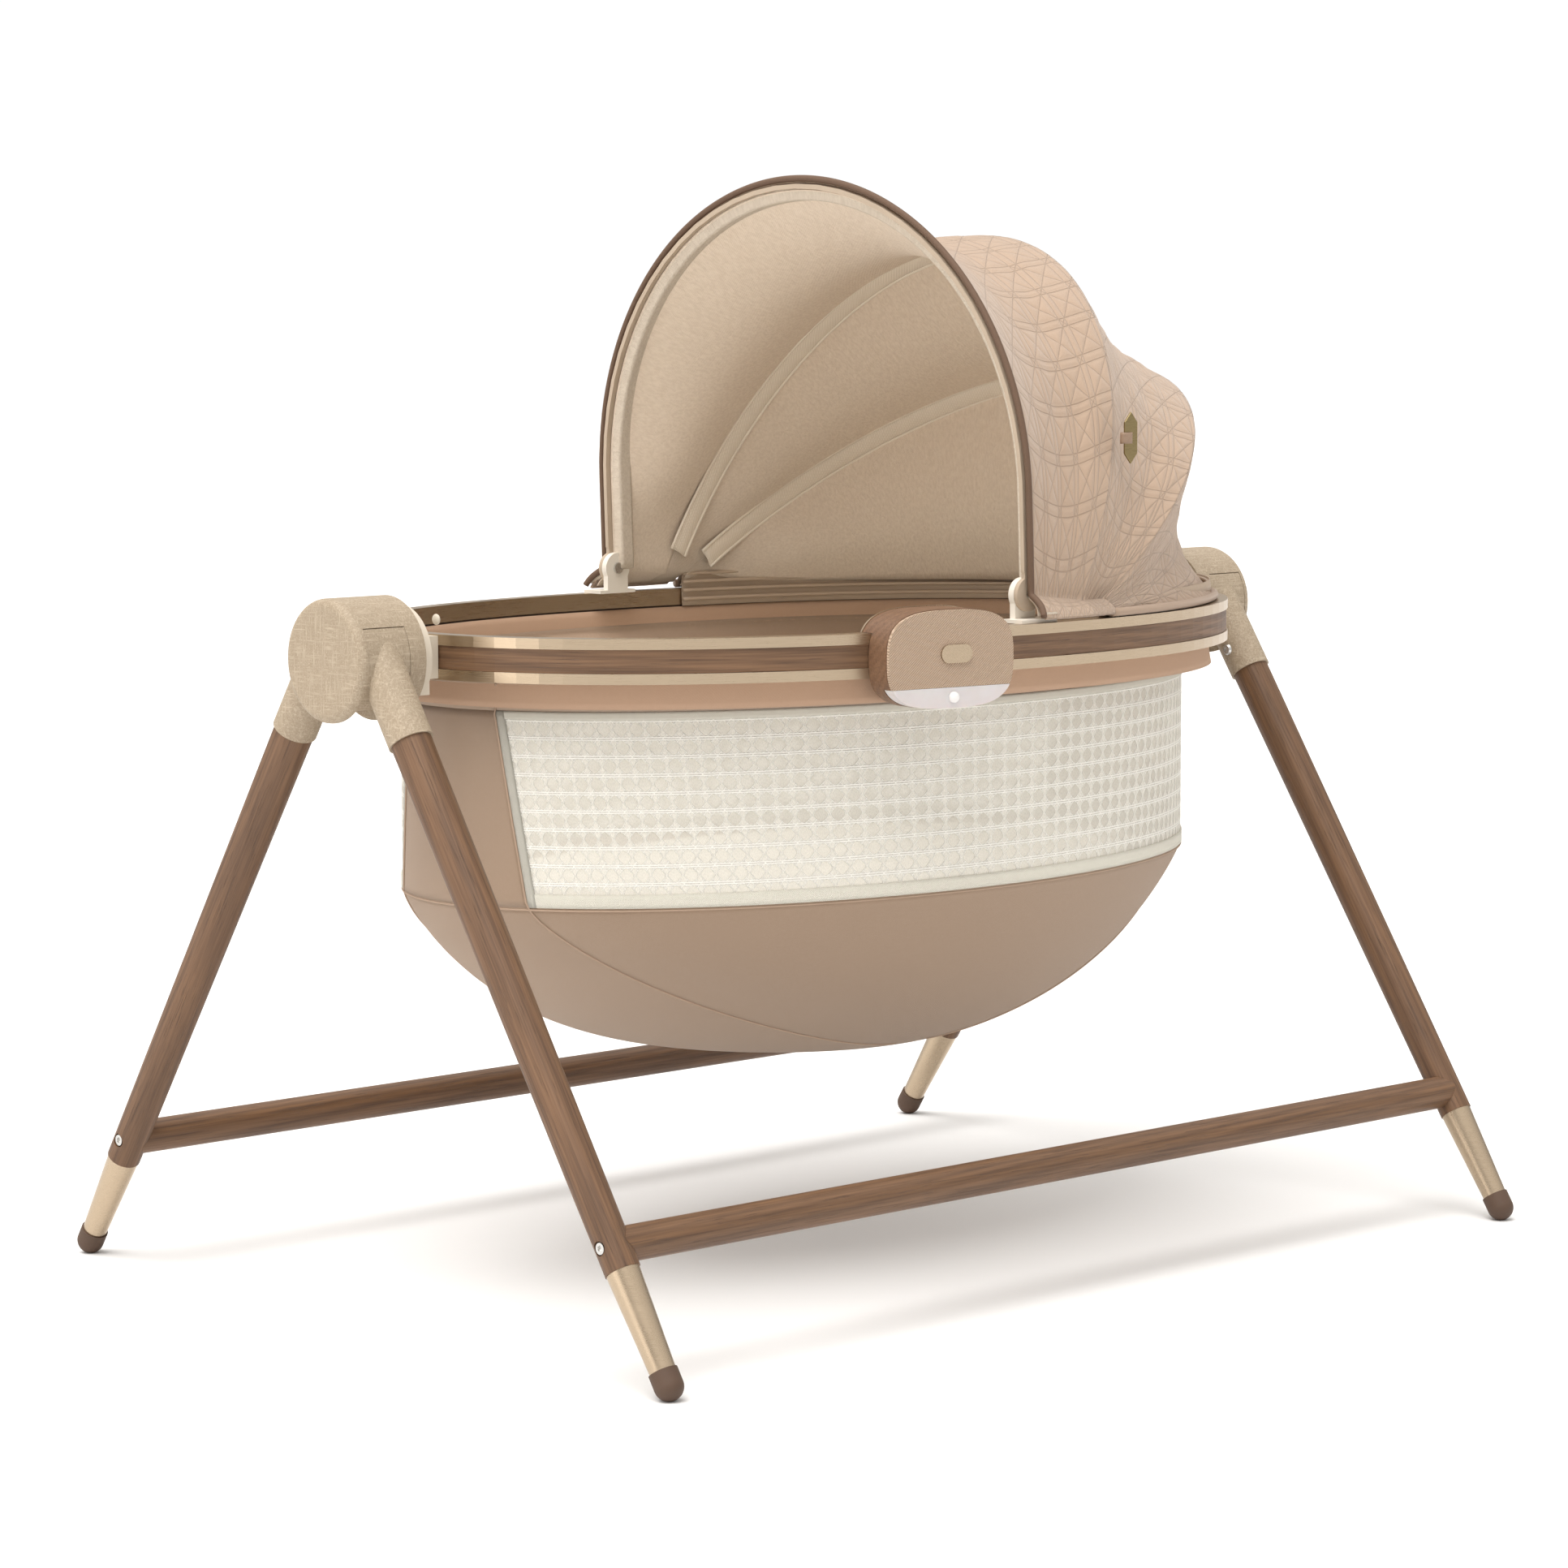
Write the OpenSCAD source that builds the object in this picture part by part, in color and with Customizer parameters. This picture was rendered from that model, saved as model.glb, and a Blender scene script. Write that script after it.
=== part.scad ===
// Bassinet hung between two folding A-frames, with a fan canopy and a clip-on sound and light unit.
// X runs from hub to hub with the canopy at +X, the front is at -Y, and Z = 0 is the floor.

/* [Stand] */
// Height of the hub axis, about which the bassinet swings and the legs fold
pivot_height = 539.1; // [500:1:600]
// Lean of each leg from the vertical, in degrees
leg_lean = 32.96; // [28:0.5:36]
// Distance from the hub axis to each leg's axis
leg_offset = 30; // [28:0.5:32]
// Leg diameter where it enters its socket
leg_top_d = 33.4; // [30:0.1:36]
// Leg diameter at the ferrule
leg_low_d = 28.6; // [27:0.1:30]
// How far below the hub axis the leg sockets end and the wood begins
socket_drop = 61.4; // [57:0.1:69]
// Outside diameter of the leg sockets
socket_d = 37; // [36.5:0.1:38]
// Height of the top of the metal ferrules
ferrule_top_z = 91.3; // [80:1:96]
// Ferrule diameter at its top
ferrule_top_d = 27; // [25:0.1:28]
// Ferrule diameter at its bottom
ferrule_low_d = 21; // [19:0.1:23]
// Height of the top of the rubber feet
foot_top_z = 21.5; // [19:0.5:26]
// Foot diameter
foot_d = 23.4; // [22:0.1:25]
// Height of the stretchers' axis
stretcher_z = 109; // [106:1:150]
// Stretcher diameter
stretcher_d = 28.5; // [24:0.1:30]

/* [Hubs] */
// Radius of the round hubs
hub_r = 50; // [49:0.5:54]
// Width of the slot in which the front leg's tongue turns
slot_w = 41.6; // [40:0.1:46]
// Thickness of the outer cover
cover_t = 8.3; // [7:0.1:10]
// Thickness of the inner plate
plate_t = 16; // [12:1:18]
// Radius of the folding axle
axle_r = 11; // [8:0.5:12]
// Radius of the swing spindle
spindle_r = 10; // [7:0.5:12]

/* [Rim] */
// Half length of the oval rim
rim_a = 433.2; // [361:1:520]
// Half width of the oval rim
rim_b = 283.6; // [236:1:341]
// Height of the rim band
rim_h = 36.5; // [32:0.5:42]
// Radial thickness of the rim
rim_t = 14; // [12:0.5:16]
// Height of each metal strip
strip_h = 8.6; // [7:0.1:10]
// Distance from the rim's end to the leg plane
rim_to_leg = 66.8; // [64:0.5:80]

/* [Tub] */
// Depth of the tub from the rim's underside to its lowest point
tub_depth = 342; // [300:1:360]
// Height of the mesh windows
window_h = 159; // [140:1:170]
// Depth of the fabric band between the rim and the windows
band_h = 25.5; // [22:0.5:34]
// How far the tub's wall stands in from the rim at its long ends
end_inset = 25.2; // [22:0.5:32]
// How far the tub's wall stands in from the rim at its sides
side_inset = 40.6; // [36:0.5:46]
// Thickness of the fabric and mesh walls
wall_t = 3.6; // [3:0.1:5]
// Thickness of the mattress
mattress_t = 42; // [30:1:50]
// Thickness of the base board
board_t = 6; // [4:0.5:8]

/* [Canopy] */
// Height of the canopy hinge above the rim
hinge_h = 23; // [20:0.5:28]
// Distance of the canopy hinge from the middle of the rim, along X
hinge_x = 5; // [0:1:20]
// Reach of the front bow from its hinge
front_reach = 348; // [290:1:400]
// Angle of the front bow above the rim, in degrees
front_angle = 92; // [84:1:96]
// Reach of the middle bow from its own foot
middle_reach = 345; // [300:1:380]
// Angle of the middle bow, in degrees
middle_angle = 63.6; // [58:0.5:68]
// Distance of the middle bow's foot behind the hinge
middle_foot = 61.5; // [50:0.5:68]
// Reach of the rear bow from its own foot
rear_reach = 342; // [300:1:348]
// Angle of the rear bow, in degrees
rear_angle = 34; // [30:0.5:38]
// Distance of the rear bow's foot behind the hinge
rear_foot = 88.5; // [80:0.5:96]
// Thickness of the quilted canopy fabric
canopy_t = 3; // [2.5:0.1:4]

/* [Sound and light unit] */
// Width of the unit
unit_w = 127; // [110:1:150]
// Height of the unit
unit_h = 80.5; // [76:0.5:92]
// Distance of the unit's middle from the rim's middle, along X
unit_x = -117; // [-150:1:-90]
// How far the unit's face stands out from the rim
unit_out = 24; // [20:0.5:28]
// How far the unit reaches in over the rim
unit_in = 18; // [16:0.5:22]
// Wall of the unit's housing
unit_wall = 3; // [2:0.2:4]

/* [Hidden] */

$fn = 64;
gap = 0.3;              // clearance between pieces that move past each other
run_fit = 0.05;         // radial clearance of an axle or spindle in its bore
press_gap = 0.1;        // radial clearance of a tenon or plug in its socket
linen = [0.80, 0.74, 0.65];
walnut = [0.45, 0.30, 0.20];
gilt = [0.72, 0.62, 0.45];
brown_rubber = [0.30, 0.20, 0.14];
tan_fabric = [0.76, 0.62, 0.52];
cream = [0.93, 0.91, 0.84];
pale_plastic = [0.86, 0.84, 0.80];
steel = [0.75, 0.75, 0.76];

// ---- rim and tub outline ----
rim_n = 2.17;           // exponent of the oval rim: 2 is an ellipse
rim_top = pivot_height + rim_h / 2 - 0.35;
rim_low = rim_top - rim_h;
window_top = rim_low - band_h;
window_low = window_top - window_h;
tub_low = rim_low - tub_depth;
ring_sides = 96;

function sgn(v) = v < 0 ? -1 : 1;
function mix(a, b, f) = a + (b - a) * f;
function oval_point(a, b, n, t) =
    [a * sgn(cos(t)) * pow(abs(cos(t)), 2 / n), b * sgn(sin(t)) * pow(abs(sin(t)), 2 / n)];
function oval(a, b, n, sides) = [for (i = [0 : sides - 1]) oval_point(a, b, n, 360 * i / sides)];

// The tub's half length and half width at height z, and the exponent of its outline there.
wall_a = rim_a - end_inset;
wall_b = rim_b - side_inset;
function band_share(z) = pow((z - window_top) / band_h, 1.3);
function bowl_share(z) = (window_low - z) / (window_low - tub_low);
function tub_a(z) =
    z > window_top ? mix(wall_a, rim_a - rim_t - 1, band_share(z))
    : z >= window_low ? wall_a
    : wall_a * pow(1 - pow(bowl_share(z), 1.322), 0.353);
function tub_b(z) =
    z > window_top ? mix(wall_b, rim_b - rim_t - 1, band_share(z))
    : z >= window_low ? wall_b
    : wall_b * pow(1 - pow(bowl_share(z), 0.815), 0.213);
function tub_n(z) = z > window_top ? mix(2, rim_n, band_share(z)) : 2;
function tub_point(z, t, inset) =
    let (q = oval_point(tub_a(z) - inset, tub_b(z) - inset, tub_n(z), t)) [q[0], q[1], z];

// ---- closed sheet from an outer and an inner grid of points ----
// A ring is closed round its turn, and a cup is a ring closed at its first row too.
module sheet_solid(outer, inner, ring = false, cup = false) {
    rows = len(outer);
    cols = len(outer[0]);
    spans = ring ? cols : cols - 1;
    shift = rows * cols;
    function at(i, j) = i * cols + j % cols;
    outer_faces = [for (i = [0 : rows - 2], j = [0 : spans - 1])
        each [[at(i, j), at(i + 1, j), at(i + 1, j + 1)], [at(i, j), at(i + 1, j + 1), at(i, j + 1)]]];
    inner_faces = [for (f = outer_faces) [f[2] + shift, f[1] + shift, f[0] + shift]];
    low_faces = cup ? [[for (j = [0 : cols - 1]) j], [for (j = [0 : cols - 1]) shift + cols - 1 - j]]
        : [for (j = [0 : spans - 1])
            each [[at(0, j), at(0, j + 1), at(0, j + 1) + shift],
                  [at(0, j), at(0, j + 1) + shift, at(0, j) + shift]]];
    top_faces = [for (j = [0 : spans - 1], r = [rows - 1])
        each [[at(r, j), at(r, j) + shift, at(r, j + 1) + shift],
              [at(r, j), at(r, j + 1) + shift, at(r, j + 1)]]];
    start_faces = ring ? [] : [for (i = [0 : rows - 2])
        each [[at(i, 0), at(i, 0) + shift, at(i + 1, 0) + shift],
              [at(i, 0), at(i + 1, 0) + shift, at(i + 1, 0)]]];
    end_faces = ring ? [] : [for (i = [0 : rows - 2], c = [cols - 1])
        each [[at(i, c), at(i + 1, c), at(i + 1, c) + shift],
              [at(i, c), at(i + 1, c) + shift, at(i, c) + shift]]];
    polyhedron(
        points = concat([for (row = outer) each row], [for (row = inner) each row]),
        faces = concat(outer_faces, inner_faces, low_faces, top_faces, start_faces, end_faces),
        convexity = 8
    );
}

// A ring between two ovals, from height low to height high.
module oval_ring(outset, inset, low, high) {
    translate([0, 0, low]) linear_extrude(high - low) difference() {
        polygon(oval(rim_a - outset, rim_b - outset, rim_n, ring_sides));
        polygon(oval(rim_a - inset, rim_b - inset, rim_n, ring_sides));
    }
}

// ---- stand ----
leg_x = rim_a + rim_to_leg;
socket_end_z = pivot_height - socket_drop;
foot_perp_z = pivot_height + leg_offset * sin(leg_lean);
foot_perp_y = leg_offset * cos(leg_lean);
function down(z) = (foot_perp_z - z) / cos(leg_lean);
function leg_y(z) = foot_perp_y + down(z) * sin(leg_lean);
tenon_r = 12;
low_tenon_r = 9;
tenon_l = 50;
bolt_r = 3;
bolt_head_r = 4.65;
bolt_head_h = 3;
counterbore_r = 5.8;
bolt_grip = 60;         // length of a leg bolt's shank
bolt_seat = leg_low_d / 2 - 4;
hub_mid_r = hub_r - 12; // inside of the hub's shell, in which the tongue turns
slot_inner_x = leg_x - slot_w / 2;
slot_outer_x = leg_x + slot_w / 2;
// Angles round the hub, from +Y over the top: the tongue fills its own sector, which starts where its
// socket does, and the shell fills the rest.
tongue_top = 180 - leg_lean;
tongue_low = 230;
shell_low = -50;
fold_limit = 60;

// Stands children on a leg: origin nearest the hub axis, -Z down the leg.
// end is -1 or 1 along X, and side is -1 or 1 along Y.
module on_leg(end, side) {
    translate([end * leg_x, side * foot_perp_y, foot_perp_z]) rotate([side * leg_lean, 0, 0]) children();
}

// Extrudes a YZ outline along X, from x to x + w.
module along_x(x, w) {
    translate([x, 0, 0]) rotate([90, 0, 90]) linear_extrude(w) children();
}

module cylinder_x(x, w, r, y = 0, z = pivot_height) {
    translate([x, y, z]) rotate([0, 90, 0]) cylinder(r = r, h = w);
}

module sector(r, from, to) {
    steps = 12;
    polygon(concat([[0, 0]],
        [for (i = [0 : steps]) let (a = mix(from, to, i / steps)) 2 * r * [cos(a), sin(a)]]));
}

module leg_cone(grow = 0) {
    top = down(socket_end_z);
    low = down(ferrule_top_z);
    translate([0, 0, -low]) cylinder(r1 = leg_low_d / 2 + grow, r2 = leg_top_d / 2 + grow, h = low - top);
}

module leg(end, side) {
    color(walnut) difference() {
        on_leg(end, side) {
            leg_cone();
            translate([0, 0, -down(socket_end_z)]) cylinder(r = tenon_r, h = tenon_l);
            translate([0, 0, -down(ferrule_top_z) - tenon_l]) cylinder(r = low_tenon_r, h = tenon_l);
        }
        bolt_path(end, side);
    }
}

// The hole for a leg bolt: its shank and its counterbore, which opens on the outer face of the leg.
module bolt_path(end, side) {
    mirror([end < 0 ? 1 : 0, 0, 0]) {
        y = side * leg_y(stretcher_z);
        cylinder_x(leg_x - leg_low_d, 2 * leg_low_d, bolt_r + press_gap, y, stretcher_z);
        cylinder_x(leg_x + bolt_seat, leg_low_d, counterbore_r, y, stretcher_z);
    }
}

module leg_bolts(side) {
    y = side * leg_y(stretcher_z);
    key_r = 2.6;         // hexagon for the key
    key_deep = 1.6;
    color(steel) for (end = [0, 1]) mirror([end, 0, 0]) difference() {
        union() {
            cylinder_x(leg_x + bolt_seat - bolt_grip, bolt_grip, bolt_r, y, stretcher_z);
            cylinder_x(leg_x + bolt_seat, bolt_head_h, bolt_head_r, y, stretcher_z);
        }
        translate([leg_x + bolt_seat + bolt_head_h - key_deep, y, stretcher_z])
            rotate([0, 90, 0]) cylinder(r = key_r, h = key_deep + 0.4, $fn = 6);
    }
}

module stretcher(side) {
    y = side * leg_y(stretcher_z);
    color(walnut) difference() {
        cylinder_x(-leg_x + 2, 2 * leg_x - 4, stretcher_d / 2, y, stretcher_z);
        for (end = [-1, 1]) on_leg(end, side) leg_cone(press_gap);
        for (end = [0, 1]) mirror([end, 0, 0])
            cylinder_x(leg_x - bolt_grip, bolt_grip, bolt_r + press_gap, y, stretcher_z);
    }
}

module ferrule(end, side) {
    top = down(ferrule_top_z);
    low = down(foot_top_z);
    color(gilt) on_leg(end, side) difference() {
        translate([0, 0, -low]) cylinder(r1 = ferrule_low_d / 2, r2 = ferrule_top_d / 2, h = low - top);
        translate([0, 0, -top - tenon_l - 1]) cylinder(r = low_tenon_r + press_gap, h = tenon_l + 2);
        translate([0, 0, -low - 1]) cylinder(r = foot_plug_r + press_gap, h = foot_plug_l + 2);
    }
}

foot_plug_r = 6;
foot_plug_l = 16;
foot_flat = 0.4;        // how much of the round foot is flattened where it stands
module foot(end, side) {
    low = down(foot_top_z);
    ball_d = down(foot_d / 2 - foot_flat);
    color(brown_rubber) difference() {
        on_leg(end, side) {
            translate([0, 0, -low]) cylinder(r = foot_plug_r, h = foot_plug_l);
            translate([0, 0, -ball_d]) cylinder(r = foot_d / 2, h = ball_d - low);
            translate([0, 0, -ball_d]) sphere(r = foot_d / 2);
        }
        translate([end * leg_x, side * leg_y(0), -foot_d]) cube(2 * foot_d, center = true);
    }
}

module hub_cover(end) {
    edge_r = 7;
    profile = concat([[0, 0], [hub_r, 0]],
        [for (i = [0 : 6]) let (a = 15 * i)
            [hub_r - edge_r + edge_r * cos(a), cover_t - edge_r + edge_r * sin(a)]], [[0, cover_t]]);
    color(linen) translate([end * slot_outer_x, 0, pivot_height]) rotate([0, 90 * end, 0])
        rotate_extrude() polygon(profile);
}

// Back half of the hub: the drum round the slot, with the back leg's socket.
module hub_shell(end) {
    color(linen) difference() {
        union() {
            translate([0, 0, pivot_height]) along_x(end * leg_x - slot_w / 2, slot_w) intersection() {
                difference() {
                    circle(r = hub_r);
                    circle(r = hub_mid_r);
                }
                sector(hub_r, shell_low, tongue_top - 1);
            }
            on_leg(end, 1) translate([0, 0, -down(socket_end_z)])
                cylinder(r = socket_d / 2, h = down(socket_end_z));
        }
        cylinder_x(end * leg_x - slot_w, 2 * slot_w, hub_mid_r);
        on_leg(end, 1) translate([0, 0, -down(socket_end_z) - 1])
            cylinder(r = tenon_r + press_gap, h = tenon_l + 1 + press_gap);
    }
}

module hub_plate(end) {
    color(linen) difference() {
        cylinder_x(end > 0 ? slot_inner_x - plate_t : -slot_inner_x, plate_t, hub_r);
        cylinder_x(end * slot_inner_x - plate_t - 1, 2 * plate_t + 2, spindle_r + run_fit);
    }
}

module fold_axle(end) {
    color(steel) cylinder_x(end * leg_x - slot_w / 2, slot_w, axle_r);
}

// Front half of the hub: the tongue that turns in the slot, with the front leg's socket.
module hub_tongue(end) {
    tongue_w = slot_w - 2 * gap;
    color(linen) difference() {
        union() {
            cylinder_x(end * leg_x - tongue_w / 2, tongue_w, hub_mid_r - 1);
            translate([0, 0, pivot_height]) along_x(end * leg_x - tongue_w / 2, tongue_w) intersection() {
                circle(r = hub_r - gap);
                sector(hub_r, tongue_top, tongue_low);
            }
            on_leg(end, -1) translate([0, 0, -down(socket_end_z)])
                cylinder(r = socket_d / 2, h = down(socket_end_z));
        }
        cylinder_x(end * leg_x - slot_w, 2 * slot_w, axle_r + run_fit);
        on_leg(end, -1) translate([0, 0, -down(socket_end_z) - 1])
            cylinder(r = tenon_r + press_gap, h = tenon_l + 1 + press_gap);
    }
}

// Button-head screws that hold the legs in their front sockets, on the faces turned to the tub.
module socket_screws() {
    screw_d = down(socket_end_z) - 23;
    head_low_r = 5.2;
    head_top_r = 4;
    head_h = 2.4;
    key_r = 2.2;         // hexagon for the key
    color(steel) for (end = [0, 1]) mirror([end, 0, 0]) on_leg(1, -1)
        translate([-socket_d / 2, 0, -screw_d]) rotate([0, -90, 0]) difference() {
            cylinder(r1 = head_low_r, r2 = head_top_r, h = head_h);
            translate([0, 0, 1]) cylinder(r = key_r, h = head_h, $fn = 6);
        }
}

// ---- cradle ----
bracket_gap = 1.5;      // running clearance between the end bracket and the hub's inner plate
bracket_t = 10;
module end_bracket(end) {
    face_x = slot_inner_x - plate_t - bracket_gap;
    plate_r = 43;
    foot_w = 39;
    foot_drop = 29;
    neck_w = 26;
    color(linen) mirror([end < 0 ? 1 : 0, 0, 0]) difference() {
        union() {
            translate([0, 0, pivot_height]) along_x(face_x - bracket_t, bracket_t) {
                intersection() {
                    circle(r = plate_r);
                    translate([-plate_r, -foot_drop]) square([2 * plate_r, plate_r + foot_drop]);
                }
                translate([-foot_w, -foot_drop]) square([2 * foot_w, foot_drop]);
            }
            translate([rim_a - rim_t, -neck_w, rim_low + 1])
                cube([face_x - bracket_t - rim_a + rim_t + 1, 2 * neck_w, rim_h - 2]);
            cylinder_x(face_x - 1, slot_inner_x - face_x, spindle_r);
        }
        translate([0, 0, rim_low - 1]) linear_extrude(rim_h + 2)
            polygon(oval(rim_a + press_gap, rim_b + press_gap, rim_n, ring_sides));
    }
}

strip_skin = 1.4;       // thickness of the bent metal strips
inlay_in = 1.2;         // how far the wooden inlay lies below the strips
inlay_t = 2.8;
lip_h = 15;             // how far the top strip turns down inside the rim
module rim_core() {
    color(walnut)
        oval_ring(inlay_in + inlay_t + 0.1, rim_t - strip_skin - 0.1,
            rim_low + strip_skin, rim_top - strip_skin);
}

module rim_top_strip() {
    color(gilt) {
        oval_ring(0, rim_t, rim_top - strip_skin, rim_top);
        oval_ring(0, inlay_in + inlay_t, rim_top - strip_h, rim_top - strip_skin);
        oval_ring(rim_t - strip_skin, rim_t, rim_top - lip_h, rim_top - strip_skin);
    }
}

module rim_inlay() {
    color(walnut) oval_ring(inlay_in, inlay_in + inlay_t, rim_low + strip_h + 0.1, rim_top - strip_h - 0.1);
}

module rim_bottom_strip() {
    color(gilt) {
        oval_ring(0, rim_t, rim_low, rim_low + strip_skin);
        oval_ring(0, inlay_in + inlay_t, rim_low + strip_skin, rim_low + strip_h);
        oval_ring(rim_t - strip_skin, rim_t, rim_low + strip_skin, rim_low + strip_h);
    }
}

seam_gap = 0.15;        // half of the gap between neighbouring panels of the tub
band_rows = [for (i = [0 : 5]) mix(window_top + seam_gap, rim_low - seam_gap, i / 5)];
wall_rows = [for (i = [0 : 4]) mix(window_low + seam_gap, window_top - seam_gap, i / 4)];
bowl_rows = [for (i = [0 : 11]) mix(window_low - seam_gap, tub_low, 0.996 * sin(90 * (1 - i / 11)))];
// Angle on the oval at which the windows end, at height z.
function window_end(z) = mix(19.4, 13.3, (z - window_low) / window_h);

module tub_band() {
    turns = [for (i = [0 : 71]) 5 * i];
    color(tan_fabric) sheet_solid(
        [for (z = band_rows) [for (t = turns) tub_point(z, t, 0)]],
        [for (z = band_rows) [for (t = turns) tub_point(z, t, wall_t)]],
        true);
}

// Wall panel from angle from(z) to angle to(z): the windows and the end gussets share it.
module wall_panel(turn, half, steps) {
    function span(z, i) = turn + mix(-half(z), half(z), i / steps);
    sheet_solid(
        [for (z = wall_rows) [for (i = [0 : steps]) tub_point(z, span(z, i), 0)]],
        [for (z = wall_rows) [for (i = [0 : steps]) tub_point(z, span(z, i), wall_t)]]);
}

module mesh_window(turn) {
    color(cream) wall_panel(turn, function (z) 90 - window_end(z) - 0.05, 32);
}

module end_gusset(turn) {
    color(tan_fabric) wall_panel(turn, function (z) window_end(z), 8);
}

module tub_bowl() {
    turns = [for (i = [0 : 59]) 6 * i];
    inner_low = tub_low + wall_t;
    brim = window_low - seam_gap;
    function inner_row(z) = mix(brim, inner_low, (brim - z) / (brim - tub_low));
    outer = [for (z = bowl_rows) [for (t = turns) tub_point(z, t, 0)]];
    inner = [for (z = bowl_rows) [for (t = turns)
        let (p = tub_point(z, t, wall_t)) [p[0], p[1], inner_row(z)]]];
    color(tan_fabric) sheet_solid(outer, inner, true, true);
}

board_z = window_low - 46;
module bed_oval(z, t, inset) {
    translate([0, 0, z]) linear_extrude(t)
        polygon(oval(tub_a(board_z) - inset, tub_b(board_z) - inset, 2, ring_sides));
}

module base_board() {
    color(walnut) bed_oval(board_z, board_t, wall_t + 4);
}

module mattress() {
    color(cream) bed_oval(board_z + board_t, mattress_t, wall_t + 1);
}

// ---- canopy ----
hinge_z = rim_top + hinge_h;
hinge_y = rim_b - rim_t;
bow_y = rim_b - 20;      // half width of the bows inside the fabric
fabric_y = rim_b - 16;   // half width of the fabric over the bows
foot_z = rim_top + 16;   // height of the feet of the middle and rear bows
hem_z = rim_top + 3;     // height of the hem on the rim
disc_r = 14;
disc_w = 6;
pin_r = 3;
strip_w = 10;            // front bow: a flat strip
strip_t = 4;
rod_r = 2.2;             // middle and rear bows: round rods sewn into the fabric

// Arch through the feet at half width half, its foot line at (x, z), tilted up by angle, reach long.
// straight is the upright length below the round part. f runs from 0 at the front to 1 at the back.
function arch_point(x, z, angle, half, reach, straight, f) =
    let (
        upright = straight > 0 ? 0.09 : 0,
        g = f < 0.5 ? f : 1 - f,
        low = g < upright,
        turn = low ? 0 : 90 * (g - upright) / (0.5 - upright),
        r = low ? straight * g / upright : straight + (reach - straight) * sin(turn),
        y = low ? half : half * cos(turn)
    ) [x + r * cos(angle), (f < 0.5 ? -1 : 1) * y, z + r * sin(angle)];

front_straight = 84;
function front_arch(inset, f) =
    arch_point(hinge_x, hinge_z, front_angle, fabric_y + 2 - inset, front_reach - inset, front_straight, f);
function middle_arch(inset, f) =
    arch_point(hinge_x + middle_foot, foot_z, middle_angle, fabric_y - inset, middle_reach - inset, 0, f);
function rear_arch(inset, f) =
    arch_point(hinge_x + rear_foot, foot_z, rear_angle, fabric_y - inset, rear_reach - inset, 0, f);
// The hem follows the rim from one foot of the rear bow round the end to the other.
hem_turn = acos(pow((hinge_x + rear_foot) / (rim_a - 4), rim_n / 2));
function hem_arch(inset, f) =
    let (q = oval_point(rim_a - 4 - inset, rim_b - 4 - inset, rim_n, mix(-hem_turn, hem_turn, f)))
        [q[0], q[1], hem_z];

fabric_cols = 30;
fabric_rows = 4;
canopy_mid = [hinge_x + 140, 0, rim_top + 20];
function inward(p, t) = p - t * (p - canopy_mid) / norm(p - canopy_mid);
function panel_grid(a, b, from, to, t) =
    [for (i = [0 : fabric_rows]) [for (j = [0 : fabric_cols])
        let (f = j / fabric_cols) inward(mix(a(f), b(f), mix(from, to, i / fabric_rows)), t)]];
module fabric_panel(a, b, from, to) {
    color(tan_fabric) sheet_solid(panel_grid(a, b, from, to, 0), panel_grid(a, b, from, to, canopy_t));
}

module canopy_front_panel() {
    fabric_panel(function (f) middle_arch(0, f), function (f) front_arch(0, f), 0.005, 1);
}

module canopy_middle_panel() {
    fabric_panel(function (f) rear_arch(0, f), function (f) middle_arch(0, f), 0.005, 0.995);
}

module canopy_rear_panel() {
    fabric_panel(function (f) hem_arch(0, f), function (f) rear_arch(0, f), 0, 0.995);
}

// Tube or strip along a list of points: section(i) gives the ring of points at station i.
module swept(rings) {
    sides = len(rings[0]);
    last = len(rings) - 1;
    polyhedron(
        points = [for (ring = rings) each ring],
        faces = concat(
            [[for (j = [0 : sides - 1]) sides - 1 - j]],
            [[for (j = [0 : sides - 1]) last * sides + j]],
            [for (i = [0 : last - 1], j = [0 : sides - 1])
                each [[i * sides + j, (i + 1) * sides + (j + 1) % sides, (i + 1) * sides + j],
                      [i * sides + j, i * sides + (j + 1) % sides, (i + 1) * sides + (j + 1) % sides]]]),
        convexity = 8
    );
}

// Rings of a bow: arch(inset, f) is its line, across is the direction square to its plane.
function bow_rings(arch, angle, inset, from, section) =
    let (across = [-sin(angle), 0, cos(angle)], steps = 36)
    [for (i = [0 : steps])
        let (
            f = mix(from, 1 - from, i / steps),
            ahead = arch(inset, min(f + 0.002, 1)) - arch(inset, max(f - 0.002, 0)),
            out = cross(across, ahead / norm(ahead)),
            p = arch(inset, f)
        ) [for (s = section) p + s[0] * across + s[1] * out]];

module bow_rod(arch, angle, inset, from) {
    ring = [for (j = [0 : 7]) rod_r * [cos(45 * j), sin(45 * j)]];
    color(pale_plastic) swept(bow_rings(arch, angle, inset, from, ring));
}

rod_inset = canopy_t + rod_r + 1.2;
module middle_bow() {
    bow_rod(function (i, f) middle_arch(i, f), middle_angle, rod_inset, 0.055);
}

module rear_bow() {
    bow_rod(function (i, f) rear_arch(i, f), rear_angle, rod_inset, 0.03);
}

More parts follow.
